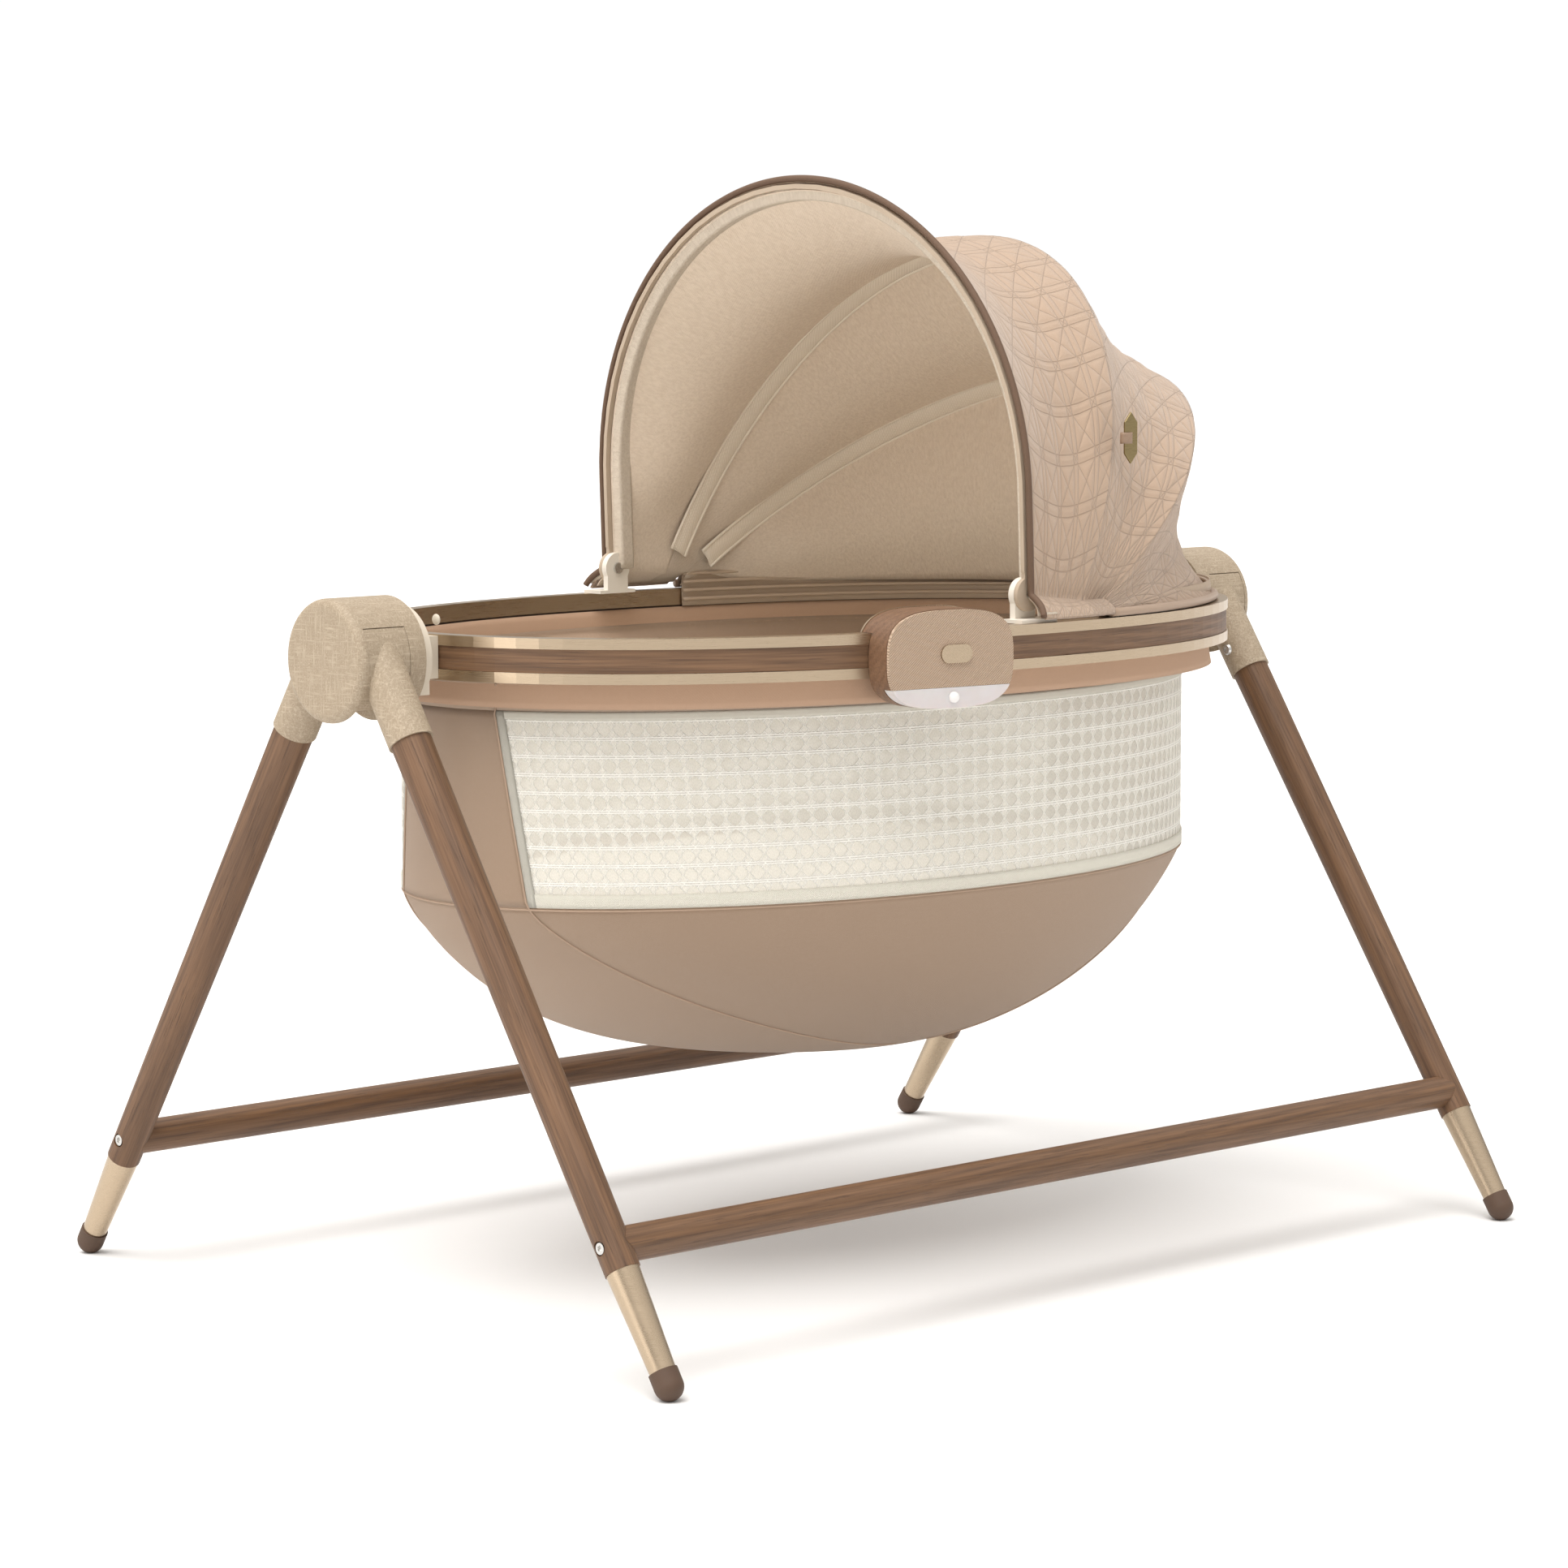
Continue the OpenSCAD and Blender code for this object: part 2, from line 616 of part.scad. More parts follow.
front_inset = canopy_t + strip_t / 2 + 1.6;
front_bow_y = fabric_y + 2 - front_inset;
module front_bow() {
    corners = [[-strip_w / 2, -strip_t / 2], [strip_w / 2, -strip_t / 2],
        [strip_w / 2, strip_t / 2], [-strip_w / 2, strip_t / 2]];
    color(pale_plastic) difference() {
        union() {
            swept(bow_rings(function (i, f) front_arch(i, f), front_angle, front_inset, 0.02, corners));
            for (side = [-1, 1])
                translate([hinge_x, side * front_bow_y + strip_t / 2, hinge_z]) rotate([90, 0, 0]) {
                cylinder(r = disc_r, h = strip_t);
                translate([-strip_w / 2, 0, 0]) cube([strip_w, front_straight / 2, strip_t]);
            }
        }
        translate([hinge_x, rim_b, hinge_z]) rotate([90, 0, 0]) cylinder(r = pin_r + run_fit, h = 2 * rim_b);
    }
}

// Bracket clipped on the rim: a foot on the strip, an upright and a round knuckle inside the bow.
bracket_in_y = front_bow_y - strip_t / 2 - gap;
module canopy_bracket(side) {
    foot_l = 42;
    foot_t = 3;
    upright_w = 24;
    color(pale_plastic) mirror([0, side < 0 ? 1 : 0, 0]) difference() {
        union() {
            translate([hinge_x - foot_l / 2, bracket_in_y - disc_w, rim_top + 0.1])
                cube([foot_l, rim_b - rim_t + 8 - bracket_in_y + disc_w, foot_t]);
            translate([hinge_x - upright_w / 2, bracket_in_y - disc_w, rim_top + 0.1])
                cube([upright_w, disc_w, hinge_h]);
            translate([hinge_x, bracket_in_y, hinge_z]) rotate([90, 0, 0]) cylinder(r = disc_r, h = disc_w);
        }
        translate([hinge_x, rim_b, hinge_z]) rotate([90, 0, 0]) cylinder(r = pin_r + press_gap, h = rim_b);
    }
}

module canopy_pins() {
    color(steel) for (side = [0, 1]) mirror([0, side, 0])
        translate([hinge_x, 0, hinge_z]) rotate([-90, 0, 0]) {
        translate([0, 0, bracket_in_y - disc_w - 2]) cylinder(r = 5, h = 2);
        translate([0, 0, bracket_in_y - disc_w - 1]) cylinder(r = pin_r, h = disc_w + gap + strip_t + 1);
    }
}

// Six-sided metal tag on the front side of the canopy.
module canopy_tag() {
    tag_h = 44;
    tag_w = 17;
    tag_t = 1.6;
    tag_out = 0.034;     // share of its distance from the canopy's middle by which it stands off the fabric
    at = mix(mix(rear_arch(0, 0.14), middle_arch(0, 0.14), 0.96), canopy_mid, -tag_out);
    aim = at - canopy_mid;
    outline = [[0, tag_h / 2], [tag_w / 2, tag_h / 3.4], [tag_w / 2, -tag_h / 3.4],
        [0, -tag_h / 2], [-tag_w / 2, -tag_h / 3.4], [-tag_w / 2, tag_h / 3.4]];
    color(gilt) translate(at) rotate([90, 0, atan2(aim[1], aim[0]) + 90])
        linear_extrude(tag_t) polygon(outline);
}

// ---- sound and light unit ----
unit_n = 3.1;            // exponent of the unit's rounded outline
rim_y_at_unit = rim_b * pow(1 - pow(abs(unit_x) / rim_a, rim_n), 1 / rim_n);
unit_slope = pow(abs(unit_x), rim_n - 1) / pow(rim_a, rim_n);
unit_turn = -atan(unit_slope * pow(rim_b, rim_n) / pow(rim_y_at_unit, rim_n - 1));
unit_z = rim_top - 21.5; // height of the unit's middle
light_h = 17;            // height of the light diffuser along the unit's foot
face_t = 3;
// Unit's own axes: X along the rim, -Y out of the rim, Z up from its middle.
module at_unit() {
    translate([unit_x, -rim_y_at_unit, unit_z]) rotate([0, 0, unit_turn]) children();
}

module unit_slab(shrink, from, to) {
    translate([0, -from, 0]) rotate([90, 0, 0]) linear_extrude(to - from)
        polygon(oval(unit_w / 2 - shrink, unit_h / 2 - shrink, unit_n, 72));
}

// Cut that keeps the unit clear of the rim: everything inside the rim's outline, up to just over its top.
module rim_clearance() {
    translate([0, 0, rim_low - unit_h]) linear_extrude(unit_h + rim_h + gap)
        polygon(oval(rim_a + gap, rim_b + gap, rim_n, ring_sides));
}

light_cut = -unit_h / 2 + light_h;
module unit_housing() {
    color(walnut) difference() {
        at_unit() difference() {
            unit_slab(0, -unit_in + 2, unit_out - face_t);
            unit_slab(unit_wall, 4, unit_out);
        }
        rim_clearance();
        at_unit() translate([-unit_w, -unit_out - 1, light_cut - unit_h])
            cube([2 * unit_w, unit_out - 11, unit_h]);
    }
}

module unit_trim() {
    color(gilt) difference() {
        at_unit() unit_slab(-0.6, -unit_in, -unit_in + 2);
        rim_clearance();
    }
}

module speaker_cover() {
    color(tan_fabric) at_unit() difference() {
        unit_slab(0.6, unit_out - face_t, unit_out);
        translate([-unit_w, -unit_out - 1, light_cut - unit_h + 0.2]) cube([2 * unit_w, unit_out, unit_h]);
        translate([badge_x - badge_l / 2 + 3, -unit_out + 0.8, badge_z - 3.2]) rotate([90, 0, 0])
            linear_extrude(4) square([badge_l - 6, 6.4]);
    }
}

module light_diffuser() {
    color(cream) at_unit() difference() {
        unit_slab(0.2, 13, unit_out);
        unit_slab(3, 12, unit_out - 3);
        translate([-unit_w, -unit_out - 1, light_cut]) cube([2 * unit_w, unit_out + 2, unit_h]);
        translate([lens_x, 0, lens_z]) rotate([90, 0, 0]) cylinder(r = lens_r + press_gap, h = unit_out + 1);
    }
}

lens_x = 2;
lens_z = -unit_h / 2 + 9;
lens_r = 4.8;
module motion_lens() {
    color("white") at_unit() translate([lens_x, -unit_out, lens_z]) rotate([90, 0, 0]) {
        translate([0, 0, -4]) cylinder(r = lens_r, h = 4);
        intersection() {
            sphere(r = lens_r);
            cylinder(r = lens_r, h = lens_r);
        }
    }
}

badge_l = 31;
badge_h = 15;
badge_x = 4.5;
badge_z = 4;
module unit_badge() {
    color(gilt) at_unit() translate([badge_x, -unit_out, badge_z]) rotate([90, 0, 0]) linear_extrude(1.4) {
        square([badge_l - badge_h, badge_h], center = true);
        for (side = [-1, 1]) translate([side * (badge_l - badge_h) / 2, 0]) circle(r = badge_h / 2);
    }
}

module speaker_driver() {
    color([0.15, 0.15, 0.15]) at_unit()
        translate([-unit_w / 4.4, -unit_out + face_t + 0.5, 6]) rotate([-90, 0, 0]) {
        cylinder(r1 = 20, r2 = 12, h = 7);
        translate([0, 0, 7]) cylinder(r = 10, h = 5);
    }
}

module circuit_board() {
    color([0.1, 0.35, 0.2]) at_unit() translate([2, -unit_out + face_t + 6, -14]) cube([46, 1.6, 40]);
}

// ---- pieces ----
leg(-1, 1);  // back_leg_left
leg(1, 1);  // back_leg_right
ferrule(-1, 1);  // back_ferrule_left
ferrule(1, 1);  // back_ferrule_right
foot(-1, 1);  // back_foot_left
foot(1, 1);  // back_foot_right
stretcher(1);  // back_stretcher
leg_bolts(1);  // back_leg_bolts
hub_cover(-1);  // hub_cover_left
hub_cover(1);  // hub_cover_right
hub_shell(-1);  // hub_shell_left
hub_shell(1);  // hub_shell_right
hub_plate(-1);  // hub_plate_left
hub_plate(1);  // hub_plate_right
fold_axle(-1);  // fold_axle_left
fold_axle(1);  // fold_axle_right
leg(-1, -1);  // front_leg_left
leg(1, -1);  // front_leg_right
ferrule(-1, -1);  // front_ferrule_left
ferrule(1, -1);  // front_ferrule_right
foot(-1, -1);  // front_foot_left
foot(1, -1);  // front_foot_right
stretcher(-1);  // front_stretcher
leg_bolts(-1);  // front_leg_bolts
hub_tongue(-1);  // hub_tongue_left
hub_tongue(1);  // hub_tongue_right
socket_screws();
end_bracket(-1);  // end_bracket_left
end_bracket(1);  // end_bracket_right
rim_core();
rim_top_strip();
rim_inlay();
rim_bottom_strip();
tub_band();
mesh_window(270);  // mesh_window_front
mesh_window(90);  // mesh_window_back
end_gusset(180);  // end_gusset_left
end_gusset(0);  // end_gusset_right
tub_bowl();
base_board();
mattress();
canopy_bracket(-1);  // canopy_bracket_front
canopy_bracket(1);  // canopy_bracket_back
canopy_pins();
unit_housing();
unit_trim();
speaker_cover();
speaker_driver();
unit_badge();
light_diffuser();
motion_lens();
circuit_board();
front_bow();
middle_bow();
rear_bow();
canopy_front_panel();
canopy_middle_panel();
canopy_rear_panel();
canopy_tag();
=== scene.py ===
import math
import bmesh
import bpy
from mathutils import Matrix, Vector, noise


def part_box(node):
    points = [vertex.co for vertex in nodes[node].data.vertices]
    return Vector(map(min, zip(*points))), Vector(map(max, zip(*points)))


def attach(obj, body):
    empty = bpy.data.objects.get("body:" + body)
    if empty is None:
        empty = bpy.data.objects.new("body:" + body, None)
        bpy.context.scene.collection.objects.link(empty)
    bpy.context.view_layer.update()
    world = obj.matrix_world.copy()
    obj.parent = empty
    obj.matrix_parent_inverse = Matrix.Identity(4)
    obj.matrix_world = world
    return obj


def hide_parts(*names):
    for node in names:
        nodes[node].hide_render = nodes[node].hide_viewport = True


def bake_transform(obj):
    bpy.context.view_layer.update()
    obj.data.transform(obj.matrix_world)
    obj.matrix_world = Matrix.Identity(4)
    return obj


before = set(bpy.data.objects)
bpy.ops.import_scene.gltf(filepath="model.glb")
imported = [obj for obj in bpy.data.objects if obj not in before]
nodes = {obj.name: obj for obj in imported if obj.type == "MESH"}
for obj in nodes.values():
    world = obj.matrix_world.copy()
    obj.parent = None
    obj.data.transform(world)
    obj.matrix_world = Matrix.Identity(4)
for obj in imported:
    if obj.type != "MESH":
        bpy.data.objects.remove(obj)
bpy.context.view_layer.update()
scene = bpy.context.scene

view = {"place": (-2.80746, -2.97346, 0.83755), "turn": -0.75198, "dip": 0.10615, "roll": -0.002,
        "lens": 107.85}
studio = {"floor": 20.0, "sunStrength": 2.6, "sunSpread": 46.0, "fillPower": 22.0, "skyLow": 0.31,
          "skyHigh": 1.45,
          "backdrop": 1.02}


def makeCamera():
    data = bpy.data.cameras.new("camera")
    data.lens = view["lens"]
    data.sensor_width = 36
    camera = bpy.data.objects.new("camera", data)
    scene.collection.objects.link(camera)
    aim = Matrix.Rotation(view["turn"], 4, "Z") @ Matrix.Rotation(math.pi / 2 - view["dip"], 4, "X")
    aim = aim @ Matrix.Rotation(view["roll"], 4, "Z")
    camera.matrix_world = Matrix.Translation(view["place"]) @ aim
    scene.camera = camera


def areaLight(name, place, aimAt, size, power, colour):
    data = bpy.data.lights.new(name, "AREA")
    data.shape = "DISK"
    data.size = size
    data.energy = power
    data.color = colour
    light = bpy.data.objects.new(name, data)
    light.location = place
    light.rotation_euler = (Vector(aimAt) - Vector(place)).to_track_quat("-Z", "Y").to_euler()
    scene.collection.objects.link(light)


makeCamera()
overhead = bpy.data.lights.new("overheadLight", "SUN")
overhead.energy = studio["sunStrength"]
overhead.angle = math.radians(studio["sunSpread"])
overhead.color = (1.0, 0.985, 0.965)
overheadLight = bpy.data.objects.new("overheadLight", overhead)
overheadLight.rotation_euler = (0.05, -0.36, 0)
scene.collection.objects.link(overheadLight)
areaLight("fillLight", (-3.6, 0.5, 1.1), (0, 0, 0.6), 2.4, studio["fillPower"], (1.0, 0.97, 0.94))
sky = bpy.data.worlds.new("studioSky")
sky.use_nodes = True
skyNodes = sky.node_tree.nodes
skyNodes["Background"].inputs["Color"].default_value = (1.0, 0.975, 0.94, 1)
heights = skyNodes.new("ShaderNodeSeparateXYZ")
heightRamp = skyNodes.new("ShaderNodeMapRange")
heightRamp.inputs["To Min"].default_value = studio["skyLow"]
heightRamp.inputs["To Max"].default_value = studio["skyHigh"]
sky.node_tree.links.new(skyNodes.new("ShaderNodeTexCoord").outputs["Generated"], heights.inputs[0])
sky.node_tree.links.new(heights.outputs["Z"], heightRamp.inputs["Value"])
sky.node_tree.links.new(heightRamp.outputs[0], skyNodes["Background"].inputs["Strength"])
backdrop = skyNodes.new("ShaderNodeBackground")
backdrop.inputs["Color"].default_value = (1, 1, 1, 1)
backdrop.inputs["Strength"].default_value = studio["backdrop"]
chooser = skyNodes.new("ShaderNodeMixShader")
rays = skyNodes.new("ShaderNodeLightPath")
sky.node_tree.links.new(rays.outputs["Is Camera Ray"], chooser.inputs[0])
sky.node_tree.links.new(skyNodes["Background"].outputs[0], chooser.inputs[1])
sky.node_tree.links.new(backdrop.outputs[0], chooser.inputs[2])
sky.node_tree.links.new(chooser.outputs[0], skyNodes["World Output"].inputs[0])
scene.world = sky
scene.view_settings.view_transform = "Standard"
print("camera and light are up")


class Graph:
    # Short calls for making nodes in a material's or a group's tree.
    def __init__(self, tree):
        self.tree = tree

    def feed(self, socket, value):
        if isinstance(value, bpy.types.NodeSocket):
            self.tree.links.new(value, socket)
        elif socket.type == "RGBA" and len(value) == 3:
            socket.default_value = (*value, 1)
        else:
            socket.default_value = value

    def node(self, kind, feeds=None, **settings):
        made = self.tree.nodes.new("ShaderNode" + kind)
        for name, value in settings.items():
            setattr(made, name, value)
        for name, value in (feeds or {}).items():
            self.feed(made.inputs[name], value)
        return made

    def math(self, operation, *values):
        made = self.node("Math", operation=operation)
        for place, value in enumerate(values):
            self.feed(made.inputs[place], value)
        return made.outputs[0]

    def add(self, *values):
        return self.math("ADD", *values)

    def minus(self, *values):
        return self.math("SUBTRACT", *values)

    def times(self, *values):
        return self.math("MULTIPLY", *values)

    def vary(self, base, value, amount):
        return self.add(base, self.times(value, amount))

    def mix(self, share, first, second):
        made = self.node("Mix", data_type="RGBA")
        self.feed(made.inputs["Factor"], share)
        self.feed(made.inputs[6], first)
        self.feed(made.inputs[7], second)
        return made.outputs[2]

    def ramp(self, value, low, high):
        feeds = {"Value": value, "From Min": low, "From Max": high}
        return self.node("MapRange", feeds, interpolation_type="SMOOTHSTEP").outputs[0]

    def noise(self, vector, scale, detail=2.0, roughness=0.5, distortion=0.0):
        feeds = {"Vector": vector, "Scale": scale, "Detail": detail, "Roughness": roughness,
                 "Distortion": distortion}
        return self.node("TexNoise", feeds).outputs["Fac"]

    def apart(self, vector):
        return self.node("SeparateXYZ", {"Vector": vector}).outputs

    def joined(self, x, y, z):
        made = self.node("CombineXYZ")
        for place, value in enumerate((x, y, z)):
            self.feed(made.inputs[place], value)
        return made.outputs[0]

    def scaled(self, vector, scale, turn=(0, 0, 0)):
        return self.node("Mapping", {"Vector": vector, "Scale": scale, "Rotation": turn}).outputs[0]

    def objectPlace(self):
        return self.node("TexCoord").outputs["Object"]

    def surfacePlace(self):
        return self.node("UVMap", uv_map="surface").outputs["UV"]

    def use(self, tree, **values):
        made = self.node("Group")
        made.node_tree = tree
        for name, value in values.items():
            self.feed(made.inputs[name], value)
        return made.outputs


def shaderGroup(name, inputs, outputs, build):
    tree = bpy.data.node_groups.new(name, "ShaderNodeTree")
    kinds = {"v": "NodeSocketVector", "f": "NodeSocketFloat", "c": "NodeSocketColor"}
    for word in inputs:
        kind, label = word.split(":")
        tree.interface.new_socket(label, in_out="INPUT", socket_type=kinds[kind])
    for word in outputs:
        kind, label = word.split(":")
        tree.interface.new_socket(label, in_out="OUTPUT", socket_type=kinds[kind])
    graph = Graph(tree)
    made = build(graph, tree.nodes.new("NodeGroupInput").outputs)
    outlet = tree.nodes.new("NodeGroupOutput")
    for label, value in made.items():
        graph.feed(outlet.inputs[label], value)
    return tree


def buildGrain(g, given):
    # Wood grain that runs along Z: slow growth figure, fine fibres and short dark pores.
    place = g.scaled(given["Vector"], (1, 1, 0.045))
    feeds = {"Vector": place, "Scale": 62, "Distortion": 3.2, "Detail": 3, "Detail Scale": 1.2}
    figure = g.node("TexWave", feeds, wave_type="BANDS", bands_direction="DIAGONAL").outputs["Fac"]
    fibres = g.noise(g.scaled(given["Vector"], (1, 1, 0.02)), 620, 3, 0.6)
    pores = g.ramp(g.noise(g.scaled(given["Vector"], (1, 1, 0.035)), 900, 2, 0.5), 0.60, 0.72)
    patches = g.noise(g.scaled(given["Vector"], (1, 1, 0.2)), 14, 2)
    share = g.times(figure, 0.34)
    share = g.add(share, g.times(g.ramp(fibres, 0.3, 0.72), 0.52))
    share = g.add(share, g.times(g.minus(patches, 0.5), 0.25))
    colour = g.mix(share, given["Light"], given["Dark"])
    colour = g.mix(g.times(pores, 0.55), colour, given["Pore"])
    return {
        "Color": colour,
        "Roughness": g.vary(0.42, fibres, 0.18),
        "Height": g.minus(g.times(fibres, 0.4), pores),
    }


def buildWeave(g, given):
    # Two thread directions crossing over and under each other, over a place in metres.
    x, y = g.apart(given["Vector"])[:2]
    turnRate = g.math("DIVIDE", math.tau, given["Pitch"])
    warp = g.math("SINE", g.times(x, turnRate))
    weft = g.math("SINE", g.times(y, turnRate))
    cross = g.times(warp, weft)
    slub = g.noise(given["Vector"], 260, 3, 0.6)
    height = g.add(g.times(cross, 0.5), g.times(slub, 0.6))
    return {"Height": height, "Shade": g.ramp(height, -0.4, 0.9)}


def buildTwill(g, given):
    # Fine diagonal ribs of a twill, with threads that vary a little.
    x, y = g.apart(given["Vector"])[:2]
    slub = g.noise(given["Vector"], 300, 3, 0.6)
    diagonal = g.add(x, g.times(y, given["Slope"]))
    phase = g.times(diagonal, g.math("DIVIDE", math.tau, given["Pitch"]))
    ribs = g.math("SINE", g.vary(phase, slub, 1.4))
    height = g.add(g.times(ribs, 0.5), g.times(slub, 0.5))
    return {"Height": height, "Shade": g.ramp(height, -0.3, 0.8)}


def buildLinen(g, given):
    # Crossed slubby threads of a linen print, on any face of a moulded part.
    flat = g.noise(g.scaled(given["Vector"], (1, 0.06, 1)), 720, 2, 0.6)
    upright = g.noise(g.scaled(given["Vector"], (1, 1, 0.06)), 720, 2, 0.6)
    across = g.noise(g.scaled(given["Vector"], (0.06, 1, 1)), 720, 2, 0.6)
    threads = g.math("MAXIMUM", g.math("MAXIMUM", flat, upright), across)
    return {"Threads": g.ramp(threads, 0.45, 0.80)}


def buildBrush(g, given):
    # Hair-fine brushing lines along X of the given place.
    lines = g.noise(g.scaled(given["Vector"], (0.012, 1, 1)), 2400, 3, 0.65)
    smears = g.noise(g.scaled(given["Vector"], (0.2, 1, 1)), 40, 2)
    roughness = g.add(given["Base"], g.times(g.minus(lines, 0.5), 0.22))
    roughness = g.add(roughness, g.times(g.minus(smears, 0.5), 0.12))
    return {"Roughness": roughness, "Shade": lines, "Height": lines}


def lineMask(g, value, pitch, offset, width):
    # 1 on lines at pitch * n + offset, falling to 0 at width from them.
    shifted = g.minus(value, offset)
    gap = g.math("ABSOLUTE", g.math("PINGPONG", g.add(shifted, 50 * pitch), pitch / 2))
    return g.minus(1, g.ramp(gap, width * 0.35, width))


def buildStitch(g, given):
    # Cane pattern in stitches: pairs of lines both ways and two diagonals through each crossing.
    pitch = quilt["pitch"]
    half = quilt["pairGap"] / 2
    u, v = g.apart(given["Vector"])[:2]
    x = g.add(u, g.times(g.math("SINE", g.times(v, quilt["waveAcross"])), quilt["waver"]))
    y = g.add(v, g.times(g.math("SINE", g.times(u, quilt["waveAlong"])), quilt["waver"]))
    lines = grooves = None
    for value, offset in ((x, half), (x, -half), (y, half), (y, -half),
                          (g.add(x, y), 0), (g.minus(x, y), 0)):
        one = lineMask(g, value, pitch, offset, quilt["stitchWidth"])
        lines = one if lines is None else g.math("MAXIMUM", lines, one)
        wide = lineMask(g, value, pitch, offset, quilt["grooveWidth"])
        grooves = wide if grooves is None else g.math("MAXIMUM", grooves, wide)
    return {"Lines": lines, "Grooves": grooves}


def buildCane(g, given):
    # Knitted cane mesh: rounded holes in rows, with pairs of threads and diagonals crossing between them.
    x, y = g.apart(given["Vector"])[:2]
    column = g.math("DIVIDE", x, caneMesh["holePitch"])
    row = g.math("DIVIDE", y, caneMesh["rowPitch"])
    side = g.math("ABSOLUTE", g.minus(g.math("FRACT", g.add(column, 100)), 0.5))
    rise = g.math("ABSOLUTE", g.minus(g.math("FRACT", g.add(row, 100)), 0.5))
    far = g.add(g.math("POWER", g.math("DIVIDE", side, caneMesh["holeHalfWidth"]), 1.35),
                 g.math("POWER", g.math("DIVIDE", rise, caneMesh["holeHalfHeight"]), 1.35))
    hole = g.minus(1, g.ramp(far, 0.86, 1.02))
    thread = None
    for value, offset in ((row, 0.06), (row, -0.06), (g.add(column, row), 0), (g.minus(column, row), 0)):
        one = lineMask(g, value, 1.0, offset, 0.055)
        thread = one if thread is None else g.math("MAXIMUM", thread, one)
    edge = g.minus(1, g.ramp(g.math("ABSOLUTE", g.minus(far, 1.08)), 0.03, 0.12))
    thread = g.times(g.math("MAXIMUM", thread, edge), g.minus(1, hole))
    fine = g.noise(g.scaled(given["Vector"], (1, 0.35, 1)), 1500, 2, 0.6)
    ground = g.add(caneMesh["groundCover"], g.times(g.ramp(fine, 0.36, 0.60), 0.2))
    solid = g.math("MAXIMUM", thread, ground)
    solid = g.mix(hole, g.joined(solid, solid, solid),
                  g.joined(*[g.times(ground, caneMesh["holeCover"])] * 3))
    return {"Solid": g.apart(solid)[0], "Thread": thread, "Fine": fine}


quilt = {"pitch": 0.046, "pairGap": 0.0100, "waver": 0.013, "waveAcross": 14.0, "waveAlong": 11.0,
         "stitchWidth": 0.0009, "grooveWidth": 0.0050, "puff": 0.0006, "crease": 0.0016,
         "creasePitch": 0.060}
caneMesh = {"holePitch": 0.0165, "rowPitch": 0.0148, "holeHalfWidth": 0.42, "holeHalfHeight": 0.42,
            "groundCover": 0.70, "holeCover": 0.66}

grain = shaderGroup("woodGrain", ["v:Vector", "c:Light", "c:Dark", "c:Pore"],
                    ["c:Color", "f:Roughness", "f:Height"], buildGrain)
weave = shaderGroup("plainWeave", ["v:Vector", "f:Pitch"], ["f:Height", "f:Shade"], buildWeave)
twill = shaderGroup("twillRibs", ["v:Vector", "f:Pitch", "f:Slope"], ["f:Height", "f:Shade"], buildTwill)
linen = shaderGroup("linenPrint", ["v:Vector"], ["f:Threads"], buildLinen)
brush = shaderGroup("brushedLines", ["v:Vector", "f:Base"], ["f:Roughness", "f:Shade", "f:Height"],
                    buildBrush)
stitch = shaderGroup("caneStitch", ["v:Vector"], ["f:Lines", "f:Grooves"], buildStitch)
cane = shaderGroup("caneHoles", ["v:Vector"], ["f:Solid", "f:Thread", "f:Fine"], buildCane)


def material(name, build, **fixed):
    made = bpy.data.materials.new(name)
    made.use_nodes = True
    graph = Graph(made.node_tree)
    shader = made.node_tree.nodes["Principled BSDF"]
    for label, value in {**build(graph), **fixed}.items():
        graph.feed(shader.inputs[label.replace("_", " ")], value)
    return made


def bump(g, height, distance, strength=1.0):
    feeds = {"Height": height, "Distance": distance, "Strength": strength}
    return g.node("Bump", feeds).outputs["Normal"]


def surface(g, colour, roughness, height, depth):
    return {"Base Color": colour, "Roughness": roughness, "Normal": bump(g, height, depth)}


def walnutFinish(turn=(0, 0, 0), light=(0.180, 0.092, 0.043), dark=(0.066, 0.031, 0.014)):
    def build(g):
        place = g.scaled(g.objectPlace(), (1, 1, 1), turn)
        out = g.use(grain, Vector=place, Light=light, Dark=dark, Pore=(0.075, 0.038, 0.020))
        return surface(g, out["Color"], out["Roughness"], out["Height"], 0.00025)
    return build


def roundRim(g):
    # Place along the oval rim, so that a finish can run round it: X round, Y across, Z up.
    x, y, z = g.apart(g.objectPlace())[:3]
    turn = g.math("ARCTAN2", y, x)
    return g.joined(g.times(turn, 0.38), 0.0, z)


def inlayFinish(g):
    x, y, z = g.apart(roundRim(g))[:3]
    out = g.use(grain, Vector=g.joined(z, 0.31, x), Light=(0.200, 0.106, 0.052), Dark=(0.078, 0.038, 0.018),
                Pore=(0.07, 0.035, 0.018))
    return surface(g, out["Color"], out["Roughness"], out["Height"], 0.0002)


def slantedPlace(g):
    return g.scaled(g.objectPlace(), (1, 1, 1), (0, 0, 0.7))


def giltFinish(place, dark=(0.42, 0.325, 0.225), light=(0.56, 0.45, 0.33)):
    def build(g):
        out = g.use(brush, Vector=place(g), Base=0.30)
        tone = g.mix(out["Shade"], dark, light)
        return surface(g, tone, out["Roughness"], out["Height"], 0.00002)
    return build


def linenFinish(g):
    place = g.objectPlace()
    threads = g.use(linen, Vector=place)["Threads"]
    patches = g.noise(place, 30, 3)
    tone = g.mix(threads, (0.30, 0.232, 0.158), (0.50, 0.408, 0.30))
    tone = g.mix(g.times(patches, 0.25), tone, (0.36, 0.288, 0.205))
    return surface(g, tone, g.vary(0.62, threads, -0.12), threads, 0.00022)


